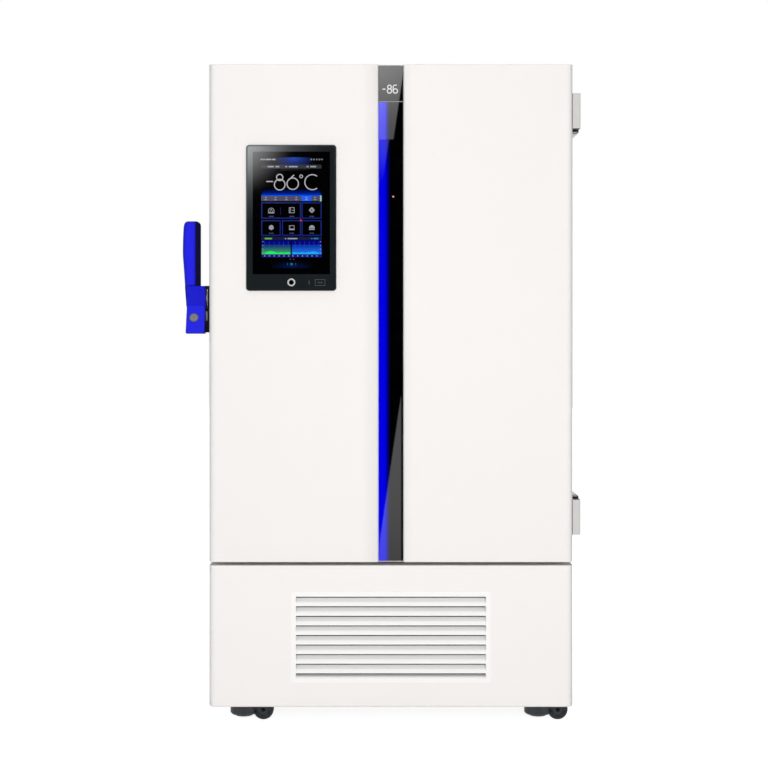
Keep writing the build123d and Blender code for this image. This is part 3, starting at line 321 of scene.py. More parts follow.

# Painted shade: darker colour where rounded edges turn away, with the radius in metres
paintEdgeShade = {"radius": 0.019, "start": 0.02, "end": 0.45, "amount": 0.62, "colour": (144, 147, 151),
            "beyond": 500.0, "ramp": 20.0}
blueEdgeShade = {"radius": 0.014, "start": 0.005, "end": 0.3, "amount": 0.85, "colour": (0, 0, 130)}
housingEdgeShade = {**blueEdgeShade, "radius": 0.006, "start": 0.09, "end": 0.4}
forkEdgeShade = {"radius": 0.012, "start": 0.02, "end": 0.4, "amount": 0.9, "colour": (4, 7, 10)}

# Painted shade makes the strip's neighbourhood a little greyer and the housing's sloping front deeper; the
# bracket's back is painted, and the coil has steel side plates
stripPaintedShade = {"low": (-68, -60, 0), "high": (46, 60, 2100), "colour": (235, 231, 228), "softness": 36}
paintedBack = {"low": (500, bracketFront, 0), "high": (600, 400, 2000), "colour": (238, 236, 234)}
coilCore = {"low": (-270.5, 30, 90), "high": (270.5, 90, 400), "colour": (164, 168, 172)}
housingSlopeShade = {"low": (-640, -20, housingCrease), "high": (-540, 120, 1400), "colour": (14, 16, 204),
                "softness": 3.0}
panelBehind = {"low": (screenLow.x, -50, screenLow.z), "high": (screenHigh.x, 50, screenHigh.z),
               "colour": (2, 2, 3)}
# painted reflection: a paler pool in the upper left corner of the screen's glass and bezel
cornerPaintedReflection = {"middle": (glassLow.x, glassLow.y, glassHigh.z), "near": 0.0, "radius": 250.0,
              "colour": (90, 94, 98)}
bezelPaintedReflection = {**cornerPaintedReflection, "colour": (80, 84, 88)}
# painted shade under each louvre's slit: grey bands repeat down from the opening's top edge
louvreShadeBands = {
    "first": grilleHigh.z - 14.5, "pitch": 28.8, "start": 0.1, "end": 0.62, "soft": 0.1,
    "low": (grilleLow.x + grilleFrame, -60, grilleLow.z + grilleFrame),
    "high": (grilleHigh.x - grilleFrame, 60, grilleHigh.z - grilleFrame), "colour": (234, 234, 232),
}

# Looks that several finishes share
paint = dict(rough=0.36, grainScale=420, grain=0.006, spread=0.05, cloudScale=1.3, cloudAmount=0.5,
             bump=0.00003)
sheet = dict(metal=0.5, spread=0.22, bump=0.00001)
steel = dict(cloudScale=60, cloudAmount=0.6, grainScale=400, grain=0.05, spread=0.15, bump=0.00001)
blue = dict(rough=0.4, grainScale=1000, grain=0.01, spread=0.06, cloudScale=8, cloudAmount=0.4, bump=0.00005,
            dust=0.04, shine=0.22)
nickel = dict(metal=0.3, cloudScale=200, cloudAmount=0.5, bump=0.00002)
# polished black plastic or glass with faint wipe marks in its gloss
polished = dict(grainScale=20, grain=0.002, spread=0.02, cloudScale=4.0, cloudAmount=0.5, bump=0.0000005)


def worn(colour, amount, radius=0.001):
    return {"radius": radius, "amount": amount, "colour": colour}


def look(colour, cloud=None, base=None, **more):
    return {"colour": colour, "cloud": cloud, **(base or {}), **more}


# Each finish has its colour, the colour of its clouds and what sets it apart
finishRows = {
    "doorPaint": look((246, 242, 239), (243, 239, 236), paint, rough=0.34, cloudScale=1.6, dust=0.1,
        softEdge=0.004, rim=paintEdgeShade, patch=stripPaintedShade, wear=worn((228, 225, 221), 0.2, 0.0012)),
    "cabinetPaint": look((248, 244, 241), (245, 241, 238), paint, dust=0.18, softEdge=0.0012, rim=paintEdgeShade,
        wear=worn((224, 221, 217), 0.25, 0.0012)),
    "grillePaint": look((253, 251, 249), (250, 248, 246), paint, dust=0.18, softEdge=0.0006,
        bands=louvreShadeBands),
    "bracketBlack": look((12, 13, 14), (18, 19, 20), rough=0.45, grainScale=600, grain=0.02,
        patch=paintedBack),
    "galvanised": look((176, 180, 184), (146, 152, 158), steel, rough=0.38, metal=0.9, cloudScale=90,
        cloudAmount=0.7, grainScale=240, bump=0.00002, dust=0.4),
    "stainless": look((206, 208, 210), (190, 193, 196), sheet, brush=(1, 1, 60)),
    "shelfSteel": look((208, 210, 212), (192, 194, 197), sheet, brush=(1, 60, 1)),
    "foam": look((226, 203, 146), (208, 180, 118), rough=0.95, grainScale=700, grain=0.2, cloudScale=30,
        cloudAmount=0.7, bump=0.0006),
    "frameGrey": look((196, 199, 201), rough=0.5, grainScale=900, grain=0.04),
    "linerWhite": look((236, 237, 236), (224, 226, 226), rough=0.42, grainScale=900, grain=0.02,
        bump=0.00005),
    "gasketGrey": look((58, 60, 63), (44, 46, 49), rough=0.62, grainScale=800, grain=0.06, bump=0.00006,
        dust=0.2),
    "sealGrey": look((150, 153, 155), (132, 135, 138), rough=0.6, grainScale=800, grain=0.05, bump=0.00006),
    "blackPlastic": look((6, 8, 11), (10, 12, 15), rough=0.5, grainScale=1100, grain=0.02, bump=0.00006,
        dust=0.1, shine=0.2),
    "coverGrey": look((207, 206, 204), (200, 199, 197), rough=0.5, grainScale=1100, grain=0.02, bump=0.00005,
        dust=0.15, softEdge=0.0012, wear=worn((186, 185, 183), 0.25)),
    "blackSteel": look((24, 25, 27), (33, 34, 36), rough=0.42, grainScale=600, dust=0.25,
        wear=worn((98, 99, 101), 0.7)),
    "brightSteel": look((184, 185, 186), (160, 162, 164), steel, rough=0.26, metal=1.0),
    # the lever's steel dome is pale and not metallic: its brightness is a painted reflection
    "domeSteelPaintedSheen": look((236, 239, 240), (222, 225, 227), steel, grain=0.04, spread=0.12),
    "stopSteel": look((150, 154, 156), (122, 126, 128), steel, metal=0.15, cloudScale=70, grainScale=500,
        bump=0.00002, brush=(1, 60, 1)),
    "screwZinc": look((170, 170, 166), (140, 140, 134), steel, rough=0.32, metal=0.95, cloudScale=160,
        grainScale=900, bump=0.00002, dust=0.2),
    # painted shade for the screws' cross recesses
    "recessPaintedShade": look((34, 34, 35), (24, 24, 25), rough=0.7, grainScale=900, grain=0.05),
    "filterMesh": look((84, 90, 94), (62, 67, 70), rough=0.9, grain=0.25, cloudScale=25, cloudAmount=0.6,
        bump=0.0004, dust=0.3),
    "coilMetal": look((188, 116, 82), (150, 90, 64), steel, rough=0.34, metal=0.95, cloudScale=30,
        cloudAmount=0.8, grainScale=500, bump=0.00003, dust=0.3, patch=coilCore),
    "compressorBlack": look((22, 23, 25), (32, 33, 35), rough=0.3, grain=0.02, bump=0.00008, dust=0.5,
        wear=worn((70, 70, 70), 0.4, 0.002)),
    "motorGrey": look((60, 63, 67), (48, 51, 55), rough=0.45, metal=0.3, grain=0.04, bump=0.00006, dust=0.3),
    "copper": look((190, 118, 84), (142, 84, 60), rough=0.3, metal=1.0, cloudScale=26, cloudAmount=0.9,
        grainScale=600, grain=0.05, spread=0.2, bump=0.00002, dust=0.2),
    "forkGrey": look((52, 58, 62), (42, 48, 52), rough=0.46, grainScale=900, bump=0.00006, dust=0.25,
        softEdge=0.002, rim=forkEdgeShade),
    "wheelTread": look((40, 44, 47), (56, 60, 63), rough=0.6, grainScale=700, grain=0.05, cloudScale=40,
        cloudAmount=0.6, bump=0.00008, dust=0.2),
    "hubGrey": look((112, 117, 121), (96, 101, 105), rough=0.45, grainScale=900, bump=0.00005, dust=0.2),
    "footRubber": look((34, 36, 38), (46, 48, 50), rough=0.66, grainScale=800, grain=0.05, bump=0.00008,
        dust=0.25),
    "gripBlue": look((26, 28, 232), (20, 21, 220), blue, rough=0.42, softEdge=0.012, rim=blueEdgeShade),
    "housingBlue": look((28, 31, 226), (24, 26, 216), blue, softEdge=0.004, rim=housingEdgeShade,
        patch=housingSlopeShade),
    # the grip's inner liner: a dark rubber back whose navy colour also carries painted shade where the grip
    # turns from the light
    "gripRubberAndShade": look((9, 8, 52), (3, 3, 16), rough=0.7, grainScale=900, grain=0.01, bump=0.0001,
        softEdge=0.006, shine=0.12),
    "lockNickel": look((138, 126, 136), (120, 108, 118), nickel, brush=(60, 1, 1), spread=0.2),
    "lockRim": look((108, 124, 92), (90, 106, 78), nickel, grainScale=700),
    "boxGrey": look((192, 194, 194), (180, 182, 183), rough=0.45, grain=0.02, bump=0.00005, dust=0.5,
        wear=worn((146, 148, 150), 0.4)),
    "seamGrey": look((150, 150, 153), rough=0.5, grainScale=900, grain=0.02),
    "markGrey": look((75, 78, 80), rough=0.3, grainScale=900, grain=0.02),
    "ringSilver": look((214, 215, 216), (196, 197, 199), rough=0.28, metal=0.35, cloudScale=200,
        grainScale=900, grain=0.02),
    "glossBlack": look((1, 1, 2), (2, 2, 3), polished, rough=0.012, spread=0.01),
    "screenGlass": look((27, 32, 35), (30, 35, 38), polished, rough=0.04, pool=cornerPaintedReflection,
        patch=panelBehind),
    "bezelBlack": look((24, 29, 31), (20, 25, 27), polished, rough=0.16, pool=bezelPaintedReflection),
    "panelDark": look((12, 13, 16), (18, 19, 24), polished, rough=0.3),
}
for name, row in finishRows.items():
    makeFinish(name, **row)

unlit = (0.006, 0.006, 0.008, 1)  # the colour of a lit mark's body


def makeGlow(name, tone, flicker=0.15, scale=300.0):
    # a lit mark: its glow varies a little over the surface, as pixels behind glass do
    tree, shader, where = startMaterial(name, {"Emission Strength": 1.0, "Base Color": unlit})
    colour = colourOf(tone)
    detail = addGroup(tree, surfaceDetail, {
        "Vector": where, "Colour": colour,
        "Cloud Colour": tuple(c * (1 - flicker) for c in colour[:3]) + (1,),
        "Cloud Scale": scale, "Cloud Amount": 1.0, "Grain Scale": scale * 4, "Grain Amount": 0.0,
        "Roughness": 0.12, "Roughness Spread": 0.04})
    fill(tree, shader["Emission Color"], detail["Colour"])
    fill(tree, shader["Roughness"], detail["Roughness"])


def addRamp(tree, share, stops):
    # a colour by a share from 0 to 1. Stops are (share, tone), the first at 0.
    ramp = addNode(tree, "ShaderNodeValToRGB", {"Fac": share})
    elements = ramp.color_ramp.elements
    elements.remove(elements[0])
    elements[0].position = 0
    elements[0].color = colourOf(stops[0][1])
    for spot, tone in stops[1:]:
        elements.new(spot).color = colourOf(tone)
    return ramp.outputs["Color"]


def makeBandGlow(name, axis, stops, lit=None):
    # a glow on gloss black that changes along one direction, all over or only in a box. Stops are
    # (drawing millimetres, tone).
    tree, shader, where = startMaterial(name, {"Emission Strength": 1.0})
    low, high = stops[0][0], stops[-1][0]
    origin = drawingOrigin["XYZ".index(axis)]
    share = addRange(tree, axesOf(tree, where)[axis], origin + low / 1000, origin + high / 1000)
    colour = addRamp(tree, share, [((spot - low) / (high - low), tone) for spot, tone in stops])
    if lit:
        colour = addMix(tree, addBoxMask(tree, where, lit["low"], lit["high"], 2.0), colourOf(black), colour)
    fill(tree, shader["Emission Color"], colour)
    body = colourOf((1, 1, 2))
    detail = addGroup(tree, surfaceDetail, {"Vector": where, "Colour": body, "Cloud Colour": body,
                                            "Roughness": 0.012, "Roughness Spread": 0.01, "Grain Scale": 20.0,
                                            "Grain Amount": 0.0})
    fill(tree, shader["Base Color"], detail["Colour"])
    fill(tree, shader["Roughness"], detail["Roughness"])


def makeSpotGlow(name, middle, size, stops):
    # a round or oval glow about a point on the front, brightest in its middle. Stops are (share, tone).
    tree, shader, where = startMaterial(name, {"Base Color": colourOf((3, 3, 5)), "Roughness": 0.08,
                                               "Emission Strength": 1.0})
    inputs = {"Vector": where, "Location": toScene(middle), "Scale": Vector(size) / 1000}
    place = addNode(tree, "ShaderNodeMapping", inputs, vector_type="TEXTURE")
    away = addVectorMath(tree, "LENGTH", place.outputs[0])
    fill(tree, shader["Emission Color"], addRamp(tree, away, stops))


black = (0, 0, 0)
makeBandGlow("stripLight", "X", [(-36, (1, 1, 229)), (-17, (1, 1, 225)), (-11, (0, 0, 130)), (-3, black)])
# The smoked pane is no lamp: its blue glow in the box is painted light, standing for the strip light behind
# it
makeBandGlow("smokedPane", "X",
             [(-36, (60, 57, 236)), (-17, (48, 46, 230)), (-11, (12, 10, 120)), (-3, black)],
             lit={"low": (-60, -50, 1700), "high": (60, 50, 1876.5)})

nodeFinishes = {
    "doorPaint": ["door_shell"],
    "cabinetPaint": ["cabinet_shell", "service_panel", "rear_panel"],
    "grillePaint": ["grille"],
    "bracketBlack": ["hinge_brackets"],
    "galvanised": ["foam_tray", "fan_shroud"],
    "stainless": ["inner_liner", "centre_rail", "shelf_supports"],
    "shelfSteel": ["shelves"],
    "foam": ["insulation_foam", "door_foam"],
    "frameGrey": ["breaker_frame"],
    "linerWhite": ["door_liner", "inner_door_lower", "inner_door_upper"],
    "gasketGrey": ["door_gasket"],
    "blackPlastic": ["latch_base", "port_plug", "mains_inlet", "fan_blade"],
    "glossBlack": ["centre_strip"],
    "smokedPane": ["strip_display"],
    "stripLight": ["strip_light"],
    "bezelBlack": ["screen_housing", "home_button"],
    "screenGlass": ["screen_glass"],
    "panelDark": ["screen_panel"],
    "coverGrey": ["hinge_covers"],
    "blackSteel": ["hinge_leaves", "base_frame"],
    "brightSteel": ["hinge_pins", "latch_cam", "latch_striker"],
    "domeSteelPaintedSheen": ["lever_pivot"],
    "filterMesh": ["air_filter"],
    "coilMetal": ["condenser_coil"],
    "motorGrey": ["fan_motor"],
    "compressorBlack": ["compressor_high_stage", "compressor_low_stage"],
    "copper": ["refrigerant_pipes"],
    "boxGrey": ["control_box"],
    "housingBlue": ["handle_housing"],
    "gripBlue": ["handle_grip"],
    "gripRubberAndShade": ["grip_liner"],
    "lockNickel": ["lock_core"],
    "forkGrey": [n for n in nodes if n.startswith("caster_fork")],
    "wheelTread": [n for n in nodes if n.startswith("caster_wheel")],
    "footRubber": [n for n in nodes if n.startswith("levelling_foot")],
}
for finish, names in nodeFinishes.items():
    for name in names:
        mesh = nodes[name].data
        mesh.materials.clear()
        mesh.materials.append(finishes[finish])
print("finishes on", sum(len(v) for v in nodeFinishes.values()), "nodes")


# Shape helpers. Everything is drawn in millimetres, with y at 0 on the door's front.
def addBar(bm, x0, x1, y0, y1, z0, z1):
    made = bmesh.ops.create_cube(bm, size=1)["verts"]
    bmesh.ops.scale(bm, vec=(abs(x1 - x0), abs(y1 - y0), abs(z1 - z0)), verts=made)
    bmesh.ops.translate(bm, vec=((x0 + x1) / 2, (y0 + y1) / 2, (z0 + z1) / 2), verts=made)
    return made


def addStroke(bm, start, end, width, front, back):
    # a straight flat bar between two (x, z) points
    run = Vector((end[0] - start[0], 0, end[1] - start[1]))
    made = bmesh.ops.create_cube(bm, size=1)["verts"]
    bmesh.ops.scale(bm, vec=(run.length, abs(back - front), width), verts=made)
    turn = Matrix.Rotation(-math.atan2(run.z, run.x), 3, "Y")
    bmesh.ops.rotate(bm, cent=(0, 0, 0), matrix=turn, verts=made)
    middle = ((start[0] + end[0]) / 2, (front + back) / 2, (start[1] + end[1]) / 2)
    bmesh.ops.translate(bm, vec=middle, verts=made)


def addArc(bm, x, z, radius, width, front, back, start=0.0, sweep=360.0, steps=32):
    # a flat bar bent round (x, z), seen from the front. Angles run anticlockwise from the right.
    middle = Vector((x, 0, z))
    turn = math.radians(start)
    verts = []
    for reach, depth in ((radius - width / 2, back), (radius + width / 2, back),
                         (radius + width / 2, front), (radius - width / 2, front)):
        verts.append(bm.verts.new(middle + Vector((reach * math.cos(turn), depth, reach * math.sin(turn)))))
    edges = [bm.edges.new((verts[i], verts[i - 1])) for i in range(4)]
    full = abs(sweep) > 359.9
    made = bmesh.ops.spin(bm, geom=verts + edges, cent=middle, axis=(0, -1, 0), angle=math.radians(sweep),
                          steps=steps, use_merge=full)
    if not full:
        lastEdges = [part for part in made["geom_last"] if isinstance(part, bmesh.types.BMEdge)]
        for loop in (edges, lastEdges):
            bmesh.ops.contextual_create(bm, geom=loop)


def addShape(bm, points, front, back):
    # a closed outline of (x, z) points, as thick as from front to back
    face = bm.faces.new([bm.verts.new((x, back, z)) for x, z in points])
    made = bmesh.ops.extrude_face_region(bm, geom=[face], use_keep_orig=True)
    moved = [part for part in made["geom"] if isinstance(part, bmesh.types.BMVert)]
    bmesh.ops.translate(bm, vec=(0, front - back, 0), verts=moved)


def addFrameBars(bm, x0, x1, z0, z1, width, front, back):
    # a thin rectangular outline
    addBar(bm, x0, x1, front, back, z0, z0 + width)
    addBar(bm, x0, x1, front, back, z1 - width, z1)
    addBar(bm, x0, x0 + width, front, back, z0 + width, z1 - width)
    addBar(bm, x1 - width, x1, front, back, z0 + width, z1 - width)


def makeTurned(profile, steps=20):
    # a profile of (radius, height) points turned round Z, closed at its poles
    bm = bmesh.new()
    verts = [bm.verts.new((radius, 0, height)) for radius, height in profile]
    edges = [bm.edges.new((verts[i], verts[i + 1])) for i in range(len(verts) - 1)]
    bmesh.ops.spin(bm, geom=verts + edges, cent=(0, 0, 0), axis=(0, 0, 1), angle=math.radians(360),
                   steps=steps, use_merge=True)
    bmesh.ops.remove_doubles(bm, verts=bm.verts, dist=0.001)
    bmesh.ops.recalc_face_normals(bm, faces=bm.faces)
    return bm


# copies of one small shape, turned from +Z to where they face, and set at their places
facing = {
    "front": Matrix.Rotation(math.radians(90), 4, "X"),
    "back": Matrix.Rotation(math.radians(-90), 4, "X"),
    "right": Matrix.Rotation(math.radians(90), 4, "Y"),
    "left": Matrix.Rotation(math.radians(-90), 4, "Y"),
    "down": Matrix.Rotation(math.radians(180), 4, "X"),
}


def addStamps(bm, stamp, places, turn):
    for place in places:
        copy = stamp.copy()
        copy.transform(Matrix.Translation(place) @ turn)
        mesh = bpy.data.meshes.new("stamp")
        copy.to_mesh(mesh)
        copy.free()
        bm.from_mesh(mesh)
        bpy.data.meshes.remove(mesh)


def makeHexBolt(radius, height):
    # a washer and a hexagon head with its top corners taken off
    bm = makeTurned([(0, 0), (radius * 1.5, 0), (radius * 1.5, 1.0), (0, 1.0)], 18)
    head = bmesh.ops.create_cone(bm, cap_ends=True, segments=6, radius1=radius, radius2=radius,
                                 depth=height)["verts"]
    bmesh.ops.translate(bm, vec=(0, 0, 1.0 + height / 2), verts=head)
    top = [v for v in head if v.co.z > height]
    edges = [edge for edge in bm.edges if edge.verts[0] in top and edge.verts[1] in top]
    bmesh.ops.bevel(bm, geom=edges, offset=radius * 0.14, offset_type="OFFSET", segments=1, profile=0.5,
                    affect="EDGES", material=-1)
    return bm


def makePanHead(radius, height):
    profile = [(0, 0), (radius, 0), (radius, height * 0.35), (radius * 0.86, height * 0.78),
               (radius * 0.5, height), (0, height)]
    return makeTurned(profile, 16)


# two bars across a screw head's top, which carry the painted shade of its cross recess
def makeCross(size, width, top):
    bm = bmesh.new()
    addBar(bm, -size / 2, size / 2, -width / 2, width / 2, top - 0.5, top + 0.08)
    addBar(bm, -width / 2, width / 2, -size / 2, size / 2, top - 0.5, top + 0.09)
    return bm


def addPiece(name, bm, finish, body, bevel=0.0, smooth=False):
    if bevel:
        bmesh.ops.bevel(bm, geom=list(bm.edges), offset=bevel, offset_type="OFFSET", segments=2, profile=0.5,
                        affect="EDGES", material=-1, clamp_overlap=True)
    bmesh.ops.recalc_face_normals(bm, faces=bm.faces)
    bmesh.ops.scale(bm, vec=(0.001, 0.001, 0.001), verts=bm.verts)
    bmesh.ops.translate(bm, vec=drawingOrigin, verts=bm.verts)
    mesh = bpy.data.meshes.new(name)
    bm.to_mesh(mesh)
    bm.free()
    mesh.materials.append(finishes[finish])
    if smooth:
        mesh.shade_smooth()
    piece = bpy.data.objects.new(name, mesh)
    scene.collection.objects.link(piece)
    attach(piece, body)
    return piece


# Numbers on the smoked pane of the centre strip
displayNumbers = {"height": 27.2, "stroke": 3.1, "middle": 1915.8, "thickness": 0.25, "bowl": 6.5,
                  "crown": 5.5, "digits": (-4.3, 13.3), "minus": (-25.2, -16.4)}


def buildDisplayNumbers():
    d = displayNumbers
    back, front = paneFront, paneFront - d["thickness"]
    stroke, bowl, crown = d["stroke"], d["bowl"], d["crown"]
    low = d["middle"] - d["height"] / 2
    high = low + d["height"]
    bm = bmesh.new()
    eight, six = d["digits"]
    for x in (eight, six):
        addArc(bm, x, low + bowl + stroke / 2, bowl, stroke, front, back)
    crownHeight = high - crown - stroke / 2
    addArc(bm, eight, crownHeight, crown, stroke, front - 0.02, back)
    stem = six - bowl
    addArc(bm, stem + crown, crownHeight, crown, stroke, front - 0.02, back, 90, 90, 10)
    addBar(bm, stem - stroke / 2, stem + stroke / 2, front - 0.03, back, low + bowl, crownHeight)
    addBar(bm, stem + crown, six + bowl * 0.7, front - 0.04, back, high - stroke, high)
    minusLeft, minusRight = d["minus"]
    addBar(bm, minusLeft, minusRight, front, back, d["middle"] - stroke / 2, d["middle"] + stroke / 2)
    addPiece("displayNumbers", bm, "numberGlow", "outer_door")


# The seam where the display block ends, and the small round lamp on the strip
stripMarks = {"seamSide": 35.5, "seamLow": 1877.2, "seamHigh": 1879.6, "lampX": 7.0, "lampZ": 1592.5,
              "lampProfile": [(0, 0.5), (1.4, 0.45), (2.3, 0.25), (2.7, 0), (2.7, -0.3), (0, -0.3)]}


def buildStripMarks():
    d = stripMarks
    bm = bmesh.new()
    addBar(bm, -d["seamSide"], d["seamSide"], paneFront - 0.2, paneFront, d["seamLow"], d["seamHigh"])
    addPiece("displaySeam", bm, "seamGrey", "outer_door")
    bm = bmesh.new()
    place = (d["lampX"], stripFront - 0.2, d["lampZ"])
    addStamps(bm, makeTurned(d["lampProfile"], 24), [place], facing["front"])
    addPiece("statusLamp", bm, "lampGlow", "outer_door", smooth=True)


# Lit marks: tone, then how much the glow varies and how finely, where it isn't makeGlow's own
glowRows = {
    "numberGlow": ((232, 232, 230),),
    "lampGlow": ((236, 170, 176),),
    "infoGrey": ((40, 42, 46), 0.3, 60),
    "tabGrey": ((74, 72, 96), 0.15, 60),
    "tileBlue": ((8, 34, 126), 0.4, 90),
    "headerBlue": ((3, 12, 62), 0.3, 90),
    "numeralGlow": ((180, 181, 184), 0.08),
    "markGlow": ((160, 168, 184), 0.3),
    "labelGlow": ((74, 70, 116), 0.3),
    "glyphGlow": ((154, 158, 164), 0.2),
    "activeBlue": ((4, 100, 252), 0.2, 60),
    "paleGreen": ((150, 196, 178),),
    "dashGreen": ((104, 190, 40), 0.3),
    "dashCyan": ((24, 126, 196), 0.3),
    "pagerCyan": ((6, 104, 140), 0.2),
    "alertRed": ((224, 26, 44), 0.1),
    "gridGlow": ((48, 96, 150), 0.4, 60),
    "axisBlue": ((6, 10, 120), 0.2, 60),
    "hillGreen": ((20, 240, 104), 0.15, 60),
    "hillCyan": ((12, 176, 252), 0.15, 60),
}
for name, row in glowRows.items():
    makeGlow(name, *row)
buildDisplayNumbers()
buildStripMarks()
print("strip numbers and lamp built")


# The touch screen's page, in millimetres to the right of and below the display's upper left corner. Lifts
# are how far each layer stands before the glass.
lifts = {"haze": 0.08, "plate": 0.12, "light": 0.15, "numeral": 0.16, "mark": 0.18}


def onScreen(u, v):
    return screenLow.x + u, screenHigh.z - v


def layer(lift):
    # the depths of what stands a given distance before the glass
    return {"front": glassFront - lift, "back": glassFront}


def addPlates(bm, lift, *plates):
    # each plate is given by its left, right, top and bottom
    for left, right, top, bottom in plates:
        x0, z1 = onScreen(left, top)
        x1, z0 = onScreen(right, bottom)
        addBar(bm, x0, x1, glassFront - lift, glassFront, z0, z1)


def addScreenPiece(name, bm, finish):
    addPiece(name, bm, finish, "outer_door")


def buildPlates(rows, lift):
    for name, (finish, *plates) in rows.items():
        bm = bmesh.new()
        addPlates(bm, lift, *plates)
        addScreenPiece(name, bm, finish)


backPlates = {
    "screenInfoBar": ("infoGrey", (25.7, 206.4, 39.4, 51.0)),
    "screenTabs": ("tabGrey", (25.7, 201.0, 133.2, 148.4)),
    "screenHeader": ("headerBlue", (25.7, 207.0, 255.6, 266.0)),
    "screenChartLeft": ("chartGreen", (27.0, 113.6, 267.2, 308.6)),
    "screenChartRight": ("chartBlue", (117.6, 207.0, 267.2, 308.6)),
    "screenAxisRow": ("axisBlue", (27.0, 207.0, 308.6, 317.6)),
}
litPlates = {
    "screenActiveTab": ("activeBlue", (147.2, 175.8, 133.2, 148.4)),
    "screenTabEnd": ("paleGreen", (201.9, 207.0, 132.0, 149.4)),
    "screenHeaderGreen": ("dashGreen", (36.3, 57.9, 259.0, 263.2)),
    "screenHeaderCyan": ("dashCyan", (174.8, 180.0, 259.6, 262.6), (183.0, 197.4, 259.0, 263.2)),
}
tiles = {"line": 3.0, "divider": (83.6, 84.6, 168.0, 190.0),
         "plates": [(25.7, 145.1, 152.4, 201.1), (146.9, 207.0, 152.4, 201.1), (25.7, 84.1, 205.9, 252.8),
                    (88.0, 145.1, 205.9, 252.8), (146.9, 207.0, 205.9, 252.8)]}


def buildScreenTiles():
    bm = bmesh.new()
    for left, right, top, bottom in tiles["plates"]:
        x0, z1 = onScreen(left, top)
        x1, z0 = onScreen(right, bottom)
        addFrameBars(bm, x0, x1, z0, z1, tiles["line"], **layer(lifts["plate"]))
    addPlates(bm, lifts["plate"], tiles["divider"])
    addScreenPiece("screenTiles", bm, "tileBlue")


# The dome of light behind the status line, the lit fan over the tabs, and the pool under the charts
hazes = {
    "screenDome": [(60.0, 19.0), (96.0, 17.6), (126.8, 17.0), (158.0, 17.6), (194.0, 19.0), (186.0, 40.0),
                   (166.0, 58.0), (88.0, 58.0), (68.0, 40.0)],
    "screenFan": [(36.6, 112.0), (195.9, 112.0), (203.0, 121.0), (207.0, 133.2), (25.7, 133.2),
                  (29.5, 121.0)],
    "screenPool": [(54.6, 324.0), (176.7, 324.0), (176.7, 350.5), (54.6, 350.5)],
}


def buildScreenHazes():
    for name, outline in hazes.items():
        bm = bmesh.new()
        addShape(bm, [onScreen(u, v) for u, v in outline], **layer(lifts["haze"]))
        addScreenPiece(name, bm, name + "Glow")


# The large number: rings as middle and radius, the minus, the six's stem, the degree ring and the open C
numerals = {
    "stroke": 3.1, "rings": [(81.2, 77.6, 9.4), (81.2, 99.4, 16.0), (120.2, 96.4, 17.2)],
    "minus": ((41.0, 89.8), (60.8, 89.8)), "stem": ((124.6, 70.0), (106.6, 86.6)),
    "degree": (145.6, 74.4, 4.4), "open": (179.2, 91.8, 22.6), "openStart": 52, "openSweep": 256,
}


def buildScreenNumerals():
    d = numerals
    stroke, flat = d["stroke"], layer(lifts["numeral"])
    bm = bmesh.new()
    addStroke(bm, *(onScreen(*point) for point in d["minus"]), stroke, **flat)
    for u, v, radius in d["rings"]:
        addArc(bm, *onScreen(u, v), radius, stroke, **flat, steps=40)
    addStroke(bm, *(onScreen(*point) for point in d["stem"]), stroke, **layer(lifts["numeral"] + 0.01))
    u, v, radius = d["degree"]
    addArc(bm, *onScreen(u, v), radius, stroke * 0.8, **flat, steps=20)
    u, v, radius = d["open"]
    addArc(bm, *onScreen(u, v), radius, stroke, **flat, start=d["openStart"], sweep=d["openSweep"], steps=34)
    addScreenPiece("screenNumerals", bm, "numeralGlow")


# Small light marks: dashes, rings, tab labels and tick marks
marks = {
    "statusDashes": [(23.9, 29.5), (31.5, 36.5), (38.5, 56.0), (58.0, 68.4)],
    "statusRings": [176.0, 184.2, 192.4, 200.6, 208.0],
    "infoDashes": [(45.0, 63.3), (68.4, 79.9), (98.2, 103.3), (108.4, 134.9), (161.9, 167.9), (173.0, 190.5)],
    "tabs": [39.6, 68.7, 101.2, 130.9, 161.5, 187.0],
    "headerDashes": [(97.0, 100.4), (105.0, 134.0)],
    "axisStarts": (36.2, 120.7), "axisStep": 14.4,
    "scaleSides": (30.4, 203.6), "scaleRows": (270.6, 281.6, 292.8, 304.0),
    "labels": [(55.8, 194.4), (117.4, 194.4), (177.5, 194.4), (55.8, 245.0), (117.4, 245.0), (177.5, 245.0)],
}


def buildScreenMarks():
    d = marks
    lift = lifts["mark"]
    bm = bmesh.new()
    addPlates(bm, lift, *((u0, u1, 21.4, 25.8) for u0, u1 in d["statusDashes"]))
    for u in d["statusRings"]:
        addArc(bm, *onScreen(u, 23.6), 1.7, 1.2, **layer(lift), steps=10)
    addPlates(bm, lift, *((u0, u1, 43.2, 47.2) for u0, u1 in d["infoDashes"]))
    for u in d["tabs"]:
        addArc(bm, *onScreen(u, 138.0), 1.4, 1.6, **layer(lift), steps=8)
        addPlates(bm, lift, (u - 4.2, u + 4.2, 143.6, 145.4))
    addPlates(bm, lift, *((u0, u1, 259.4, 263.0) for u0, u1 in d["headerDashes"]))
    for first in d["axisStarts"]:
        for i in range(6):
            u = first + d["axisStep"] * i
            addPlates(bm, lift, (u - 1.6, u + 1.6, 311.8, 314.6))
    for u in d["scaleSides"]:
        addPlates(bm, lift, *((u - 1.3, u + 1.3, v - 1.1, v + 1.1) for v in d["scaleRows"]))
    addScreenPiece("screenMarks", bm, "markGlow")

    bm = bmesh.new()
    for u, v in d["labels"]:
        addPlates(bm, lift, (u - 6.6, u - 1.2, v - 1.4, v + 1.4), (u, u + 6.6, v - 1.4, v + 1.4))
    addScreenPiece("screenLabels", bm, "labelGlow")


glyphPlaces = {"gauge": (55.8, 177.0), "sheet": (117.4, 176.0), "diamond": (177.5, 175.6),
               "hexagon": (55.8, 228.0), "window": (117.4, 228.6), "dome": (177.8, 228.0)}


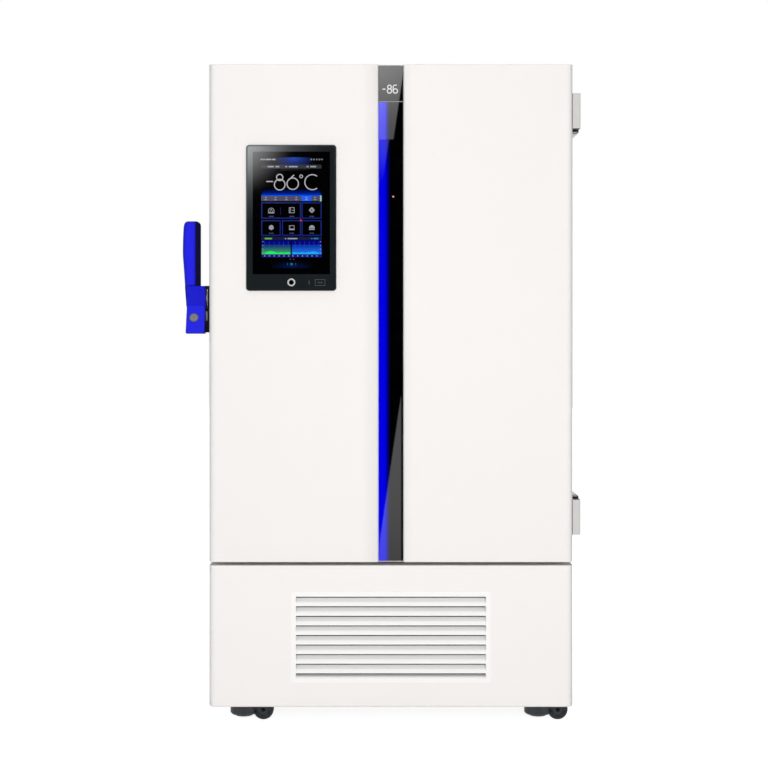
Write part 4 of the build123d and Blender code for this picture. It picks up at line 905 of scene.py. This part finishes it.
def buildScreenGlyphs():
    lift = lifts["mark"]
    flat = layer(lift)
    bm = bmesh.new()
    at = {name: onScreen(u, v) for name, (u, v) in glyphPlaces.items()}

    def bars(x, z, *rows):
        # bars about a glyph's middle, as left, right, low and high
        for left, right, low, high in rows:
            addBar(bm, x + left, x + right, flat["front"], flat["back"], z + low, z + high)

    def outline(x, z, radius, height, angles):
        turns = [math.radians(angle) for angle in angles]
        addShape(bm, [(x + radius * math.cos(turn), z + height * math.sin(turn)) for turn in turns], **flat)

    x, z = at["gauge"]
    addArc(bm, x, z - 1.0, 8.4, 1.7, **flat, start=0, sweep=180, steps=16)
    bars(x, z, (-9.2, -7.6, -8.0, -1.0), (7.6, 9.2, -8.0, -1.0), (-7.6, 7.6, -8.6, -5.0))
    for tip in (-4.4, 4.4):
        addStroke(bm, (x, z + 4.6), (x + tip, z - 4.2), 1.5, **flat)
    x, z = at["sheet"]
    addFrameBars(bm, x - 8.4, x + 8.4, z - 8.6, z + 8.6, 1.7, **flat)
    bars(x, z, (-5.2, -3.6, -6.9, 6.9), (-0.4, 6.7, -0.8, 0.8))
    x, z = at["diamond"]
    for dx, dz in ((1, 1), (-1, 1), (-1, -1), (1, -1)):
        addStroke(bm, (x + 7.2 * dx, z), (x, z + 7.2 * dz), 3.4, **layer(lift + 0.01 * (dx + 2 * dz + 3)))
    addArc(bm, x, z, 3.2, 1.6, **layer(lift + 0.08), steps=12)
    outline(*at["hexagon"], 8.0, 8.0, range(30, 390, 60))
    x, z = at["window"]
    addFrameBars(bm, x - 8.0, x + 8.0, z - 7.0, z + 7.0, 1.5, **flat)
    bars(x, z, (-6.5, 6.5, -5.5, -2.4), (-5.0, -2.8, 2.0, 3.8))
    x, z = at["dome"]
    outline(x, z - 2.0, 8.6, 9.2, range(0, 181, 15))
    bars(x, z, (-8.6, 8.6, -7.0, -3.4))
    addScreenPiece("screenGlyphs", bm, "glyphGlow")


# The coloured things in front: chart hills and grid, pager and alert dot
lights = {
    "hills": {"screenHillLeft": ("hillGreen", 36.0, 113.0, 54.6, 5.0),
              "screenHillRight": ("hillCyan", 119.0, 199.0, 181.0, 3.4)},
    "hillBase": 307.4, "hillSwell": 4.6, "hillPoints": 18,
    "gridStarts": (36.0, 127.2), "gridStep": 14.2, "gridRows": (281.6, 292.8), "gridLine": 0.6,
    "pager": (116.8, 337.9), "pagerDash": (111.0, 115.0, 322.0, 324.2), "alert": (144.8, 206.2, 3.3),
    "alertDash": (121.6, 124.6, 322.0, 324.2),
}


def humpOutline(left, right, peak, height):
    # a low hill: its base line, and a smooth rise about the peak
    d = lights
    points = [onScreen(right, d["hillBase"]), onScreen(left, d["hillBase"])]
    for i in range(d["hillPoints"] + 1):
        u = left + (right - left) * i / d["hillPoints"]
        rise = d["hillSwell"] + height * math.exp(-((u - peak) / 9.0) ** 2) + 0.8 * math.sin(u * 0.31)
        points.append(onScreen(u, d["hillBase"] - rise))
    return points


def buildScreenLights():
    d = lights
    lift, line = lifts["light"], d["gridLine"]
    flat = layer(lift)
    for name, (finish, *hill) in d["hills"].items():
        bm = bmesh.new()
        addShape(bm, humpOutline(*hill), **flat)
        addScreenPiece(name, bm, finish)
    bm = bmesh.new()
    for i in range(6):
        for first in d["gridStarts"]:
            u = first + i * d["gridStep"]
            addPlates(bm, lift - 0.02, (u, u + line, 270.0, 307.0))
    for v in d["gridRows"]:
        addPlates(bm, lift - 0.01, (34.0, 114.0, v, v + line), (120.0, 200.0, v, v + line))
    addScreenPiece("screenGrid", bm, "gridGlow")
    bm = bmesh.new()
    x, z = onScreen(*d["pager"])
    addArc(bm, x, z, 2.6, 3.4, **flat, steps=20)
    addArc(bm, x - 7.0, z, 5.6, 1.6, **flat, start=145, sweep=70, steps=8)
    addArc(bm, x + 7.0, z, 5.6, 1.6, **flat, start=-35, sweep=70, steps=8)
    addPlates(bm, lift, d["pagerDash"])
    addScreenPiece("screenPager", bm, "pagerCyan")
    bm = bmesh.new()
    u, v, radius = d["alert"]
    addArc(bm, *onScreen(u, v), radius / 2, radius, **flat, steps=18)
    addPlates(bm, lift, d["alertDash"])
    addScreenPiece("screenAlert", bm, "alertRed")


def makePageGlow(name, *stops):
    # a band glow down the page. Stops are (distance from the page's top, tone).
    makeBandGlow(name, "Z", [(screenHigh.z - v, tone) for v, tone in stops])


chartTop = [(278.0, (2, 8, 132)), (267.2, (1, 4, 128))]
makeSpotGlow("screenDomeGlow", (screenLow.x + 124.0, glassFront, screenHigh.z - 18.0), (62, 60, 38),
             [(0.0, (26, 68, 172)), (0.4, (14, 40, 116)), (0.95, black)])
makeSpotGlow("screenPoolGlow", (screenLow.x + 116.8, glassFront, screenHigh.z - 344.0), (62, 60, 15),
             [(0.0, (0, 18, 74)), (0.5, (0, 9, 40)), (1.0, black)])
makePageGlow("screenFanGlow", (133.2, (0, 96, 250)), (130.6, (0, 52, 196)), (124.0, (0, 22, 104)),
             (112.0, black))
makePageGlow("chartGreen", (308.6, (66, 176, 96)), (298.0, (52, 132, 96)), (286.0, (26, 70, 110)), *chartTop)
makePageGlow("chartBlue", (308.6, (20, 122, 232)), (298.0, (24, 96, 216)), (286.0, (12, 60, 180)), *chartTop)
buildPlates(backPlates, lifts["plate"])
buildScreenTiles()
buildScreenHazes()
buildScreenNumerals()
buildScreenMarks()
buildScreenGlyphs()
buildPlates(litPlates, lifts["light"])
buildScreenLights()
print("screen page built")

# The ring round the home button's middle, its polished middle, and the card reader's mark
buttonLow, buttonHigh = fromFrame("home_button")
homeRing = {"radius": 9.7, "width": 4.1, "rise": 0.05, "foot": 0.4, "middleRadius": 3.6, "middleWidth": 7.0}
readerMark = {"left": -228.0, "right": -197.4, "low": 1324.0, "high": 1343.4, "line": 1.5, "tick": -245.6,
              "ringShift": 4.6}


def buildHomeRing():
    d = homeRing
    x, z = (buttonLow.x + buttonHigh.x) / 2, (buttonLow.z + buttonHigh.z) / 2
    front, back = buttonLow.y - d["rise"], buttonLow.y + d["foot"]
    bm = bmesh.new()
    addArc(bm, x, z, d["radius"], d["width"], front, back, steps=40)
    addPiece("homeRing", bm, "ringSilver", "home_button")
    bm = bmesh.new()
    addArc(bm, x, z, d["middleRadius"], d["middleWidth"], front, back, steps=30)
    addPiece("homeMiddle", bm, "glossBlack", "home_button")


def buildReaderMark():
    d = readerMark
    front, back = glassFront - 0.1, glassFront
    bm = bmesh.new()
    addFrameBars(bm, d["left"], d["right"], d["low"], d["high"], d["line"], front, back)
    middle = (d["low"] + d["high"]) / 2
    centre = (d["left"] + d["right"]) / 2
    for shift in (-d["ringShift"], d["ringShift"]):
        addArc(bm, centre + shift, middle, 2.0, 1.3, front - 0.01, back, steps=12)
    addBar(bm, centre - 2.8, centre + 2.8, front, back, middle - 0.6, middle + 0.6)
    addBar(bm, d["tick"] - 1.1, d["tick"] + 1.1, front, back, middle - 6.0, middle + 6.0)
    addPiece("readerMark", bm, "markGrey", "outer_door")


buildHomeRing()
buildReaderMark()

# Key lock: a nickel rim over the housing's collar
lockRimShape = {"centre": (-594.75, 23.44, 1228.6), "tilt": 68.2,
                "profile": [(10.3, 1.2), (10.3, 1.8), (10.7, 2.1), (12.8, 2.1), (13.5, 1.4), (13.5, 0.1),
                            (12.9, 0.1), (12.9, 1.2), (10.3, 1.2)]}


def buildLockRim():
    d = lockRimShape
    bm = bmesh.new()
    tilt = Matrix.Rotation(math.radians(d["tilt"]), 4, "X")
    addStamps(bm, makeTurned(d["profile"], 40), [d["centre"]], tilt)
    addPiece("lockRim", bm, "lockRim", "handle", smooth=True)


# Steel stop over the latch base's middle rib
latchStop = {"high": 1248.0, "low": 1217.5, "wrap": 0.8, "front": 39.2, "back": 80.8, "stand": 0.7,
             "reach": 6.3}


def buildLatchStop():
    d = latchStop
    low = fromFrame("latch_base")[0]
    outer = low.x - d["stand"]
    bm = bmesh.new()
    addBar(bm, outer, low.x + d["reach"], d["front"], d["front"] + d["wrap"], d["low"], d["high"])
    addBar(bm, outer, low.x, d["front"] + d["wrap"], d["back"], d["low"], d["high"])
    addPiece("latchStop", bm, "stopSteel", "outer_door", bevel=0.25)


# Bolts and screws
hingeLow, hingeHigh = fromFrame("hinge_brackets")
strikerHigh = fromFrame("latch_striker")[1]
corners = ("front_left", "front_right", "rear_left", "rear_right")
fixings = {
    "hinge": {"radius": 6.5, "height": 4.0, "depths": (146.0, 198.0), "plate": 4.0,
              "rises": (20.0, 54.0)},
    "striker": {"radius": 5.0, "height": 2.4, "plate": 6.0,
                "places": [(188.0, 1236.0), (188.0, 1314.0), (138.0, 1314.0)]},
    "back": {"radius": 4.2, "height": 1.8, "side": 534.0, "rows": 8, "inset": 14.0,
             "across": (-267.0, 0.0, 267.0)},
    "caster": {"radius": 5.5, "height": 3.0, "reach": 44.0, "plate": 74.0, "swivel": 41.5},
}


def addScrews(name, crossName, body, places, turn, radius, height):
    bm = bmesh.new()
    addStamps(bm, makePanHead(radius, height), places, turn)
    addPiece(name, bm, "screwZinc", body, smooth=True)
    # the cross recess, with its shade painted on dark bars
    bm = bmesh.new()
    addStamps(bm, makeCross(radius * 1.1, radius * 0.24, height), places, turn)
    addPiece(crossName, bm, "recessPaintedShade", body)


def buildFixings():
    d = fixings["hinge"]
    plate = hingeLow.x + d["plate"]
    places = [(plate, y, end + sign * rise) for end, sign in ((hingeLow.z, 1), (hingeHigh.z, -1))
              for y in d["depths"] for rise in d["rises"]]
    bm = bmesh.new()
    addStamps(bm, makeHexBolt(d["radius"], d["height"]), places, facing["right"])
    addPiece("hingeBolts", bm, "blackSteel", "cabinet")

    d = fixings["striker"]
    seat = strikerHigh.x - d["plate"]
    addScrews("strikerScrews", "strikerScrewSlots", "cabinet", [(seat, y, z) for y, z in d["places"]],
              facing["left"], d["radius"], d["height"])

    d = fixings["back"]
    backLow, backHigh = fromFrame("rear_panel")
    low, high = backLow.z + d["inset"], backHigh.z - d["inset"]
    rows = [low + (high - low) * i / (d["rows"] - 1) for i in range(d["rows"])]
    places = [(x, backHigh.y, z) for z in rows for x in (-d["side"], d["side"])]
    places += [(x, backHigh.y, z) for x in d["across"] for z in (low, high)]
    addScrews("backScrews", "backScrewSlots", "cabinet", places, facing["back"], d["radius"], d["height"])

    d = fixings["caster"]
    places = []
    for corner in corners:
        low, high = fromFrame("caster_fork_" + corner)
        x, y = low.x + d["swivel"], (low.y + high.y) / 2
        places += [(x + sx * d["reach"], y + sy * d["reach"], d["plate"]) for sx in (-1, 1) for sy in (-1, 1)]
    bm = bmesh.new()
    addStamps(bm, makeHexBolt(d["radius"], d["height"]), places, facing["down"])
    addPiece("casterBolts", bm, "screwZinc", "cabinet")


# Caster axle caps, and a ribbed hub in each side of the wheels
casterTrim = {
    "cap": [(0, 1.8), (2.0, 1.8), (2.4, 1.2), (5.4, 1.2), (6.5, 0.6), (6.5, 0), (0, 0)],
    "hub": [(5.2, 0), (5.2, 1.6), (9.0, 1.6), (13.0, 0.5), (13.0, 0), (5.2, 0)],
    "ribs": 6, "rib": (12.0, 22.0, -1.2, 1.2, 0.0, 1.3), "forkSide": 20.0, "dishDepth": 3.0,
}


def buildCasterTrim():
    d = casterTrim
    cap, hub = makeTurned(d["cap"], 20), makeTurned(d["hub"], 24)
    for i in range(d["ribs"]):
        turn = Matrix.Rotation(math.tau * i / d["ribs"], 3, "Z")
        bmesh.ops.rotate(hub, cent=(0, 0, 0), matrix=turn, verts=addBar(hub, *d["rib"]))
    for corner in corners:
        low, high = fromFrame("caster_wheel_" + corner)
        x, y, z = (low + high) / 2
        dish = (high.y - low.y) / 2 - d["dishDepth"]
        caps, hubs = bmesh.new(), bmesh.new()
        for bm, stamp, reach in ((caps, cap, d["forkSide"]), (hubs, hub, dish)):
            addStamps(bm, stamp, [(x, y - reach, z)], facing["front"])
            addStamps(bm, stamp, [(x, y + reach, z)], facing["back"])
        addPiece("axleCap_" + corner, caps, "blackPlastic", "caster_" + corner, smooth=True)
        addPiece("wheelHub_" + corner, hubs, "hubGrey", "wheel_" + corner)


# Seals on the back of the inner doors
innerSeal = {"side": 6.0, "end": 11.0, "width": 12.0, "height": 1.2}


def buildInnerSeals():
    d = innerSeal
    for which in ("lower", "upper"):
        low, high = fromFrame("inner_door_" + which)
        bm = bmesh.new()
        addFrameBars(bm, low.x + d["side"], high.x - d["side"], low.z + d["end"], high.z - d["end"],
                     d["width"], high.y, high.y + d["height"])
        addPiece("innerSeal_" + which, bm, "sealGrey", "inner_door_" + which, bevel=0.3)


# Steel sleeves on the mains inlet's pins
inletPins = {"pitch": 8.0, "width": 2.3, "height": 6.3, "reach": 9.0, "tip": 0.3}


def buildInletPins():
    d = inletPins
    low, high = fromFrame("mains_inlet")
    x, z = (low.x + high.x) / 2, (low.z + high.z) / 2
    shellBack = fromFrame("cabinet_shell")[1].y
    bm = bmesh.new()
    for step in (-1, 0, 1):
        middle = x + step * d["pitch"]
        addBar(bm, middle - d["width"] / 2, middle + d["width"] / 2, shellBack - d["reach"],
               shellBack + d["tip"], z - d["height"] / 2, z + d["height"] / 2)
    addPiece("inletPins", bm, "screwZinc", "cabinet", bevel=0.3)


buildLockRim()
buildLatchStop()
buildFixings()
buildCasterTrim()
buildInnerSeals()
buildInletPins()
print("lock, fixings, caster trim and seals built")

# Camera
view = {"distance": 5.0, "height": 1.19, "lens": 77.97, "shiftX": -0.009, "shiftY": -0.0697}
cameraData = bpy.data.cameras.new("photoCamera")
cameraData.lens = view["lens"]
cameraData.sensor_width = 36
cameraData.shift_x = view["shiftX"]
cameraData.shift_y = view["shiftY"]
cameraData.clip_end = 100
camera = bpy.data.objects.new("photoCamera", cameraData)
camera.location = (drawingOrigin.x, doorFront - view["distance"], view["height"])
camera.rotation_euler = (math.radians(90), 0, 0)
scene.collection.objects.link(camera)
scene.camera = camera

# Light: one large soft lamp in front, one above, and a white room
lamps = {
    "frontSoftbox": {"place": (0.15, -5.6, 1.05), "target": (0, 0, 0.95), "size": (4.4, 2.0), "watts": 144},
    "topSoftbox": {"place": (0.0, -0.6, 4.6), "target": (0, 0, 0), "size": (4.0, 4.0), "watts": 60},
}
room = {"lit": 0.36, "seen": 1.0, "floorNear": 0.86, "nearEnd": 1.0, "farStart": 2.4, "halfSize": 20}
white = (1, 1, 1, 1)


def addSoftbox(name, place, target, size, watts):
    light = bpy.data.lights.new(name, "AREA")
    light.shape = "RECTANGLE"
    light.size, light.size_y = size
    light.energy = watts
    lamp = bpy.data.objects.new(name, light)
    lamp.location = place
    lamp.rotation_euler = (Vector(target) - Vector(place)).to_track_quat("-Z", "Y").to_euler()
    lamp.visible_camera = False
    lamp.visible_glossy = False
    scene.collection.objects.link(lamp)


for name, settings in lamps.items():
    addSoftbox(name, **settings)


def buildWorld():
    # the room is brighter to look at than it lights
    world = bpy.data.worlds.new("studio")
    world.use_nodes = True
    scene.world = world
    tree = world.node_tree
    tree.nodes.clear()
    rays = addNode(tree, "ShaderNodeLightPath").outputs
    looked = addMath(tree, "MAXIMUM", rays["Is Camera Ray"], rays["Is Glossy Ray"])
    looked = addMath(tree, "MAXIMUM", looked, rays["Is Transmission Ray"])
    lit, seen = (addNode(tree, "ShaderNodeBackground", {"Color": white, "Strength": room[key]}).outputs[0]
                 for key in ("lit", "seen"))
    mixed = addNode(tree, "ShaderNodeMixShader", {0: looked, 1: lit, 2: seen}).outputs[0]
    addNode(tree, "ShaderNodeOutputWorld", {0: mixed})


def addStagePiece(name, bm, materialName):
    # a mesh with a material whose nodes are still to be made
    mesh = bpy.data.meshes.new(name)
    bm.to_mesh(mesh)
    bm.free()
    piece = bpy.data.objects.new(name, mesh)
    scene.collection.objects.link(piece)
    material = bpy.data.materials.new(materialName)
    material.use_nodes = True
    material.node_tree.nodes.clear()
    mesh.materials.append(material)
    return piece, material.node_tree


def buildFloor():
    bm = bmesh.new()
    bmesh.ops.create_grid(bm, x_segments=1, y_segments=1, size=room["halfSize"])
    floor, tree = addStagePiece("floor", bm, "floorWhite")
    reach = addVectorMath(tree, "LENGTH", addNode(tree, "ShaderNodeTexCoord").outputs["Object"])
    far = addRange(tree, reach, room["nearEnd"], room["farStart"], room["floorNear"], 1.0)
    seen = addNode(tree, "ShaderNodeLightPath").outputs["Is Camera Ray"]
    matt = addNode(tree, "ShaderNodeBsdfDiffuse", {"Color": (0.9, 0.9, 0.9, 1)}).outputs[0]
    glow = addNode(tree, "ShaderNodeEmission", {"Strength": addMath(tree, "MULTIPLY", far, seen)}).outputs[0]
    both = addNode(tree, "ShaderNodeAddShader", {0: matt, 1: glow}).outputs[0]
    addNode(tree, "ShaderNodeOutputMaterial", {"Surface": both})
    floor.visible_glossy = False


# The black flag fills the mirror view of the front, and the bright cards before it make the streaks. A card's
# light falls from its strength near the pool's middle to the pool's end.
cards = {"flagDepth": -7100.0, "flagSide": 4200.0, "flagLow": -2400.0, "flagHigh": 4600.0,
         "cardDepth": -7000.0, "lean": 0.146, "left": -260.0,
         "foot": 1900.0, "joint": 2570.0, "top": 3900.0, "jointX": 18.0,
         "tailShift": -32.0, "lowerX": 68.6, "lowerHeight": 688.0, "lowest": -1200.0, "edge": 73.6,
         "screen": (-1900, -400, 2000, 3300)}
cardLights = {
    "blackFlag": (0.0, None),
    "upperCard": (6.5, {"middle": (-200, -7000, 3350), "near": 100, "radius": 800, "end": 1.9}),
    "upperTail": (0.95, {"middle": (-60, -7000, 2570), "near": 0, "radius": 340}),
    "lowerCard": (1.9, {"middle": (40, -7000, 250), "near": 100, "radius": 1100, "end": 1.15}),
    "screenCard": (8.6, {"middle": (-1180, -7000, 2640), "near": 80, "radius": 500}),
}


def buildCard(name, outline):
    # a card behind the camera that only reflections see
    strength, pool = cardLights[name]
    depth = cards["cardDepth"] if pool else cards["flagDepth"]
    bm = bmesh.new()
    bm.faces.new([bm.verts.new(toScene((x, depth, z))) for x, z in outline])
    card, tree = addStagePiece(name, bm, name)
    glow = addNode(tree, "ShaderNodeEmission", {"Color": white, "Strength": strength})
    if pool:
        where = addNode(tree, "ShaderNodeTexCoord").outputs["Object"]
        fill(tree, glow.inputs["Strength"], addPool(tree, where, pool, strength))
    addNode(tree, "ShaderNodeOutputMaterial", {"Surface": glow.outputs[0]})
    for ray in ("camera", "diffuse", "transmission", "shadow", "volume_scatter"):
        setattr(card, f"visible_{ray}", False)


def upright(x0, x1, z0, z1):
    return [(x0, z0), (x1, z0), (x1, z1), (x0, z1)]


def buildCards():
    d = cards
    lean, left, joint, edge, lowest = d["lean"], d["left"], d["joint"], d["edge"], d["lowest"]
    buildCard("blackFlag", upright(-d["flagSide"], d["flagSide"], d["flagLow"], d["flagHigh"]))
    foot, middle, top = ((d["jointX"] + lean * (z - joint), z) for z in (d["foot"], joint, d["top"]))
    buildCard("upperCard", [(left, joint), middle, top, (left, d["top"])])
    tail = [(x + d["tailShift"], z) for x, z in (foot, middle)]
    buildCard("upperTail", [(left, d["foot"]), *tail, (left, joint)])
    crossing = d["lowerHeight"] + (edge - d["lowerX"]) / lean
    lower = (d["lowerX"] + lean * (lowest - d["lowerHeight"]), lowest)
    buildCard("lowerCard", [lower, (edge, lowest), (edge, crossing)])
    buildCard("screenCard", upright(*d["screen"]))


buildWorld()
buildFloor()
buildCards()

scene.view_settings.view_transform = "Standard"
print("stage built")
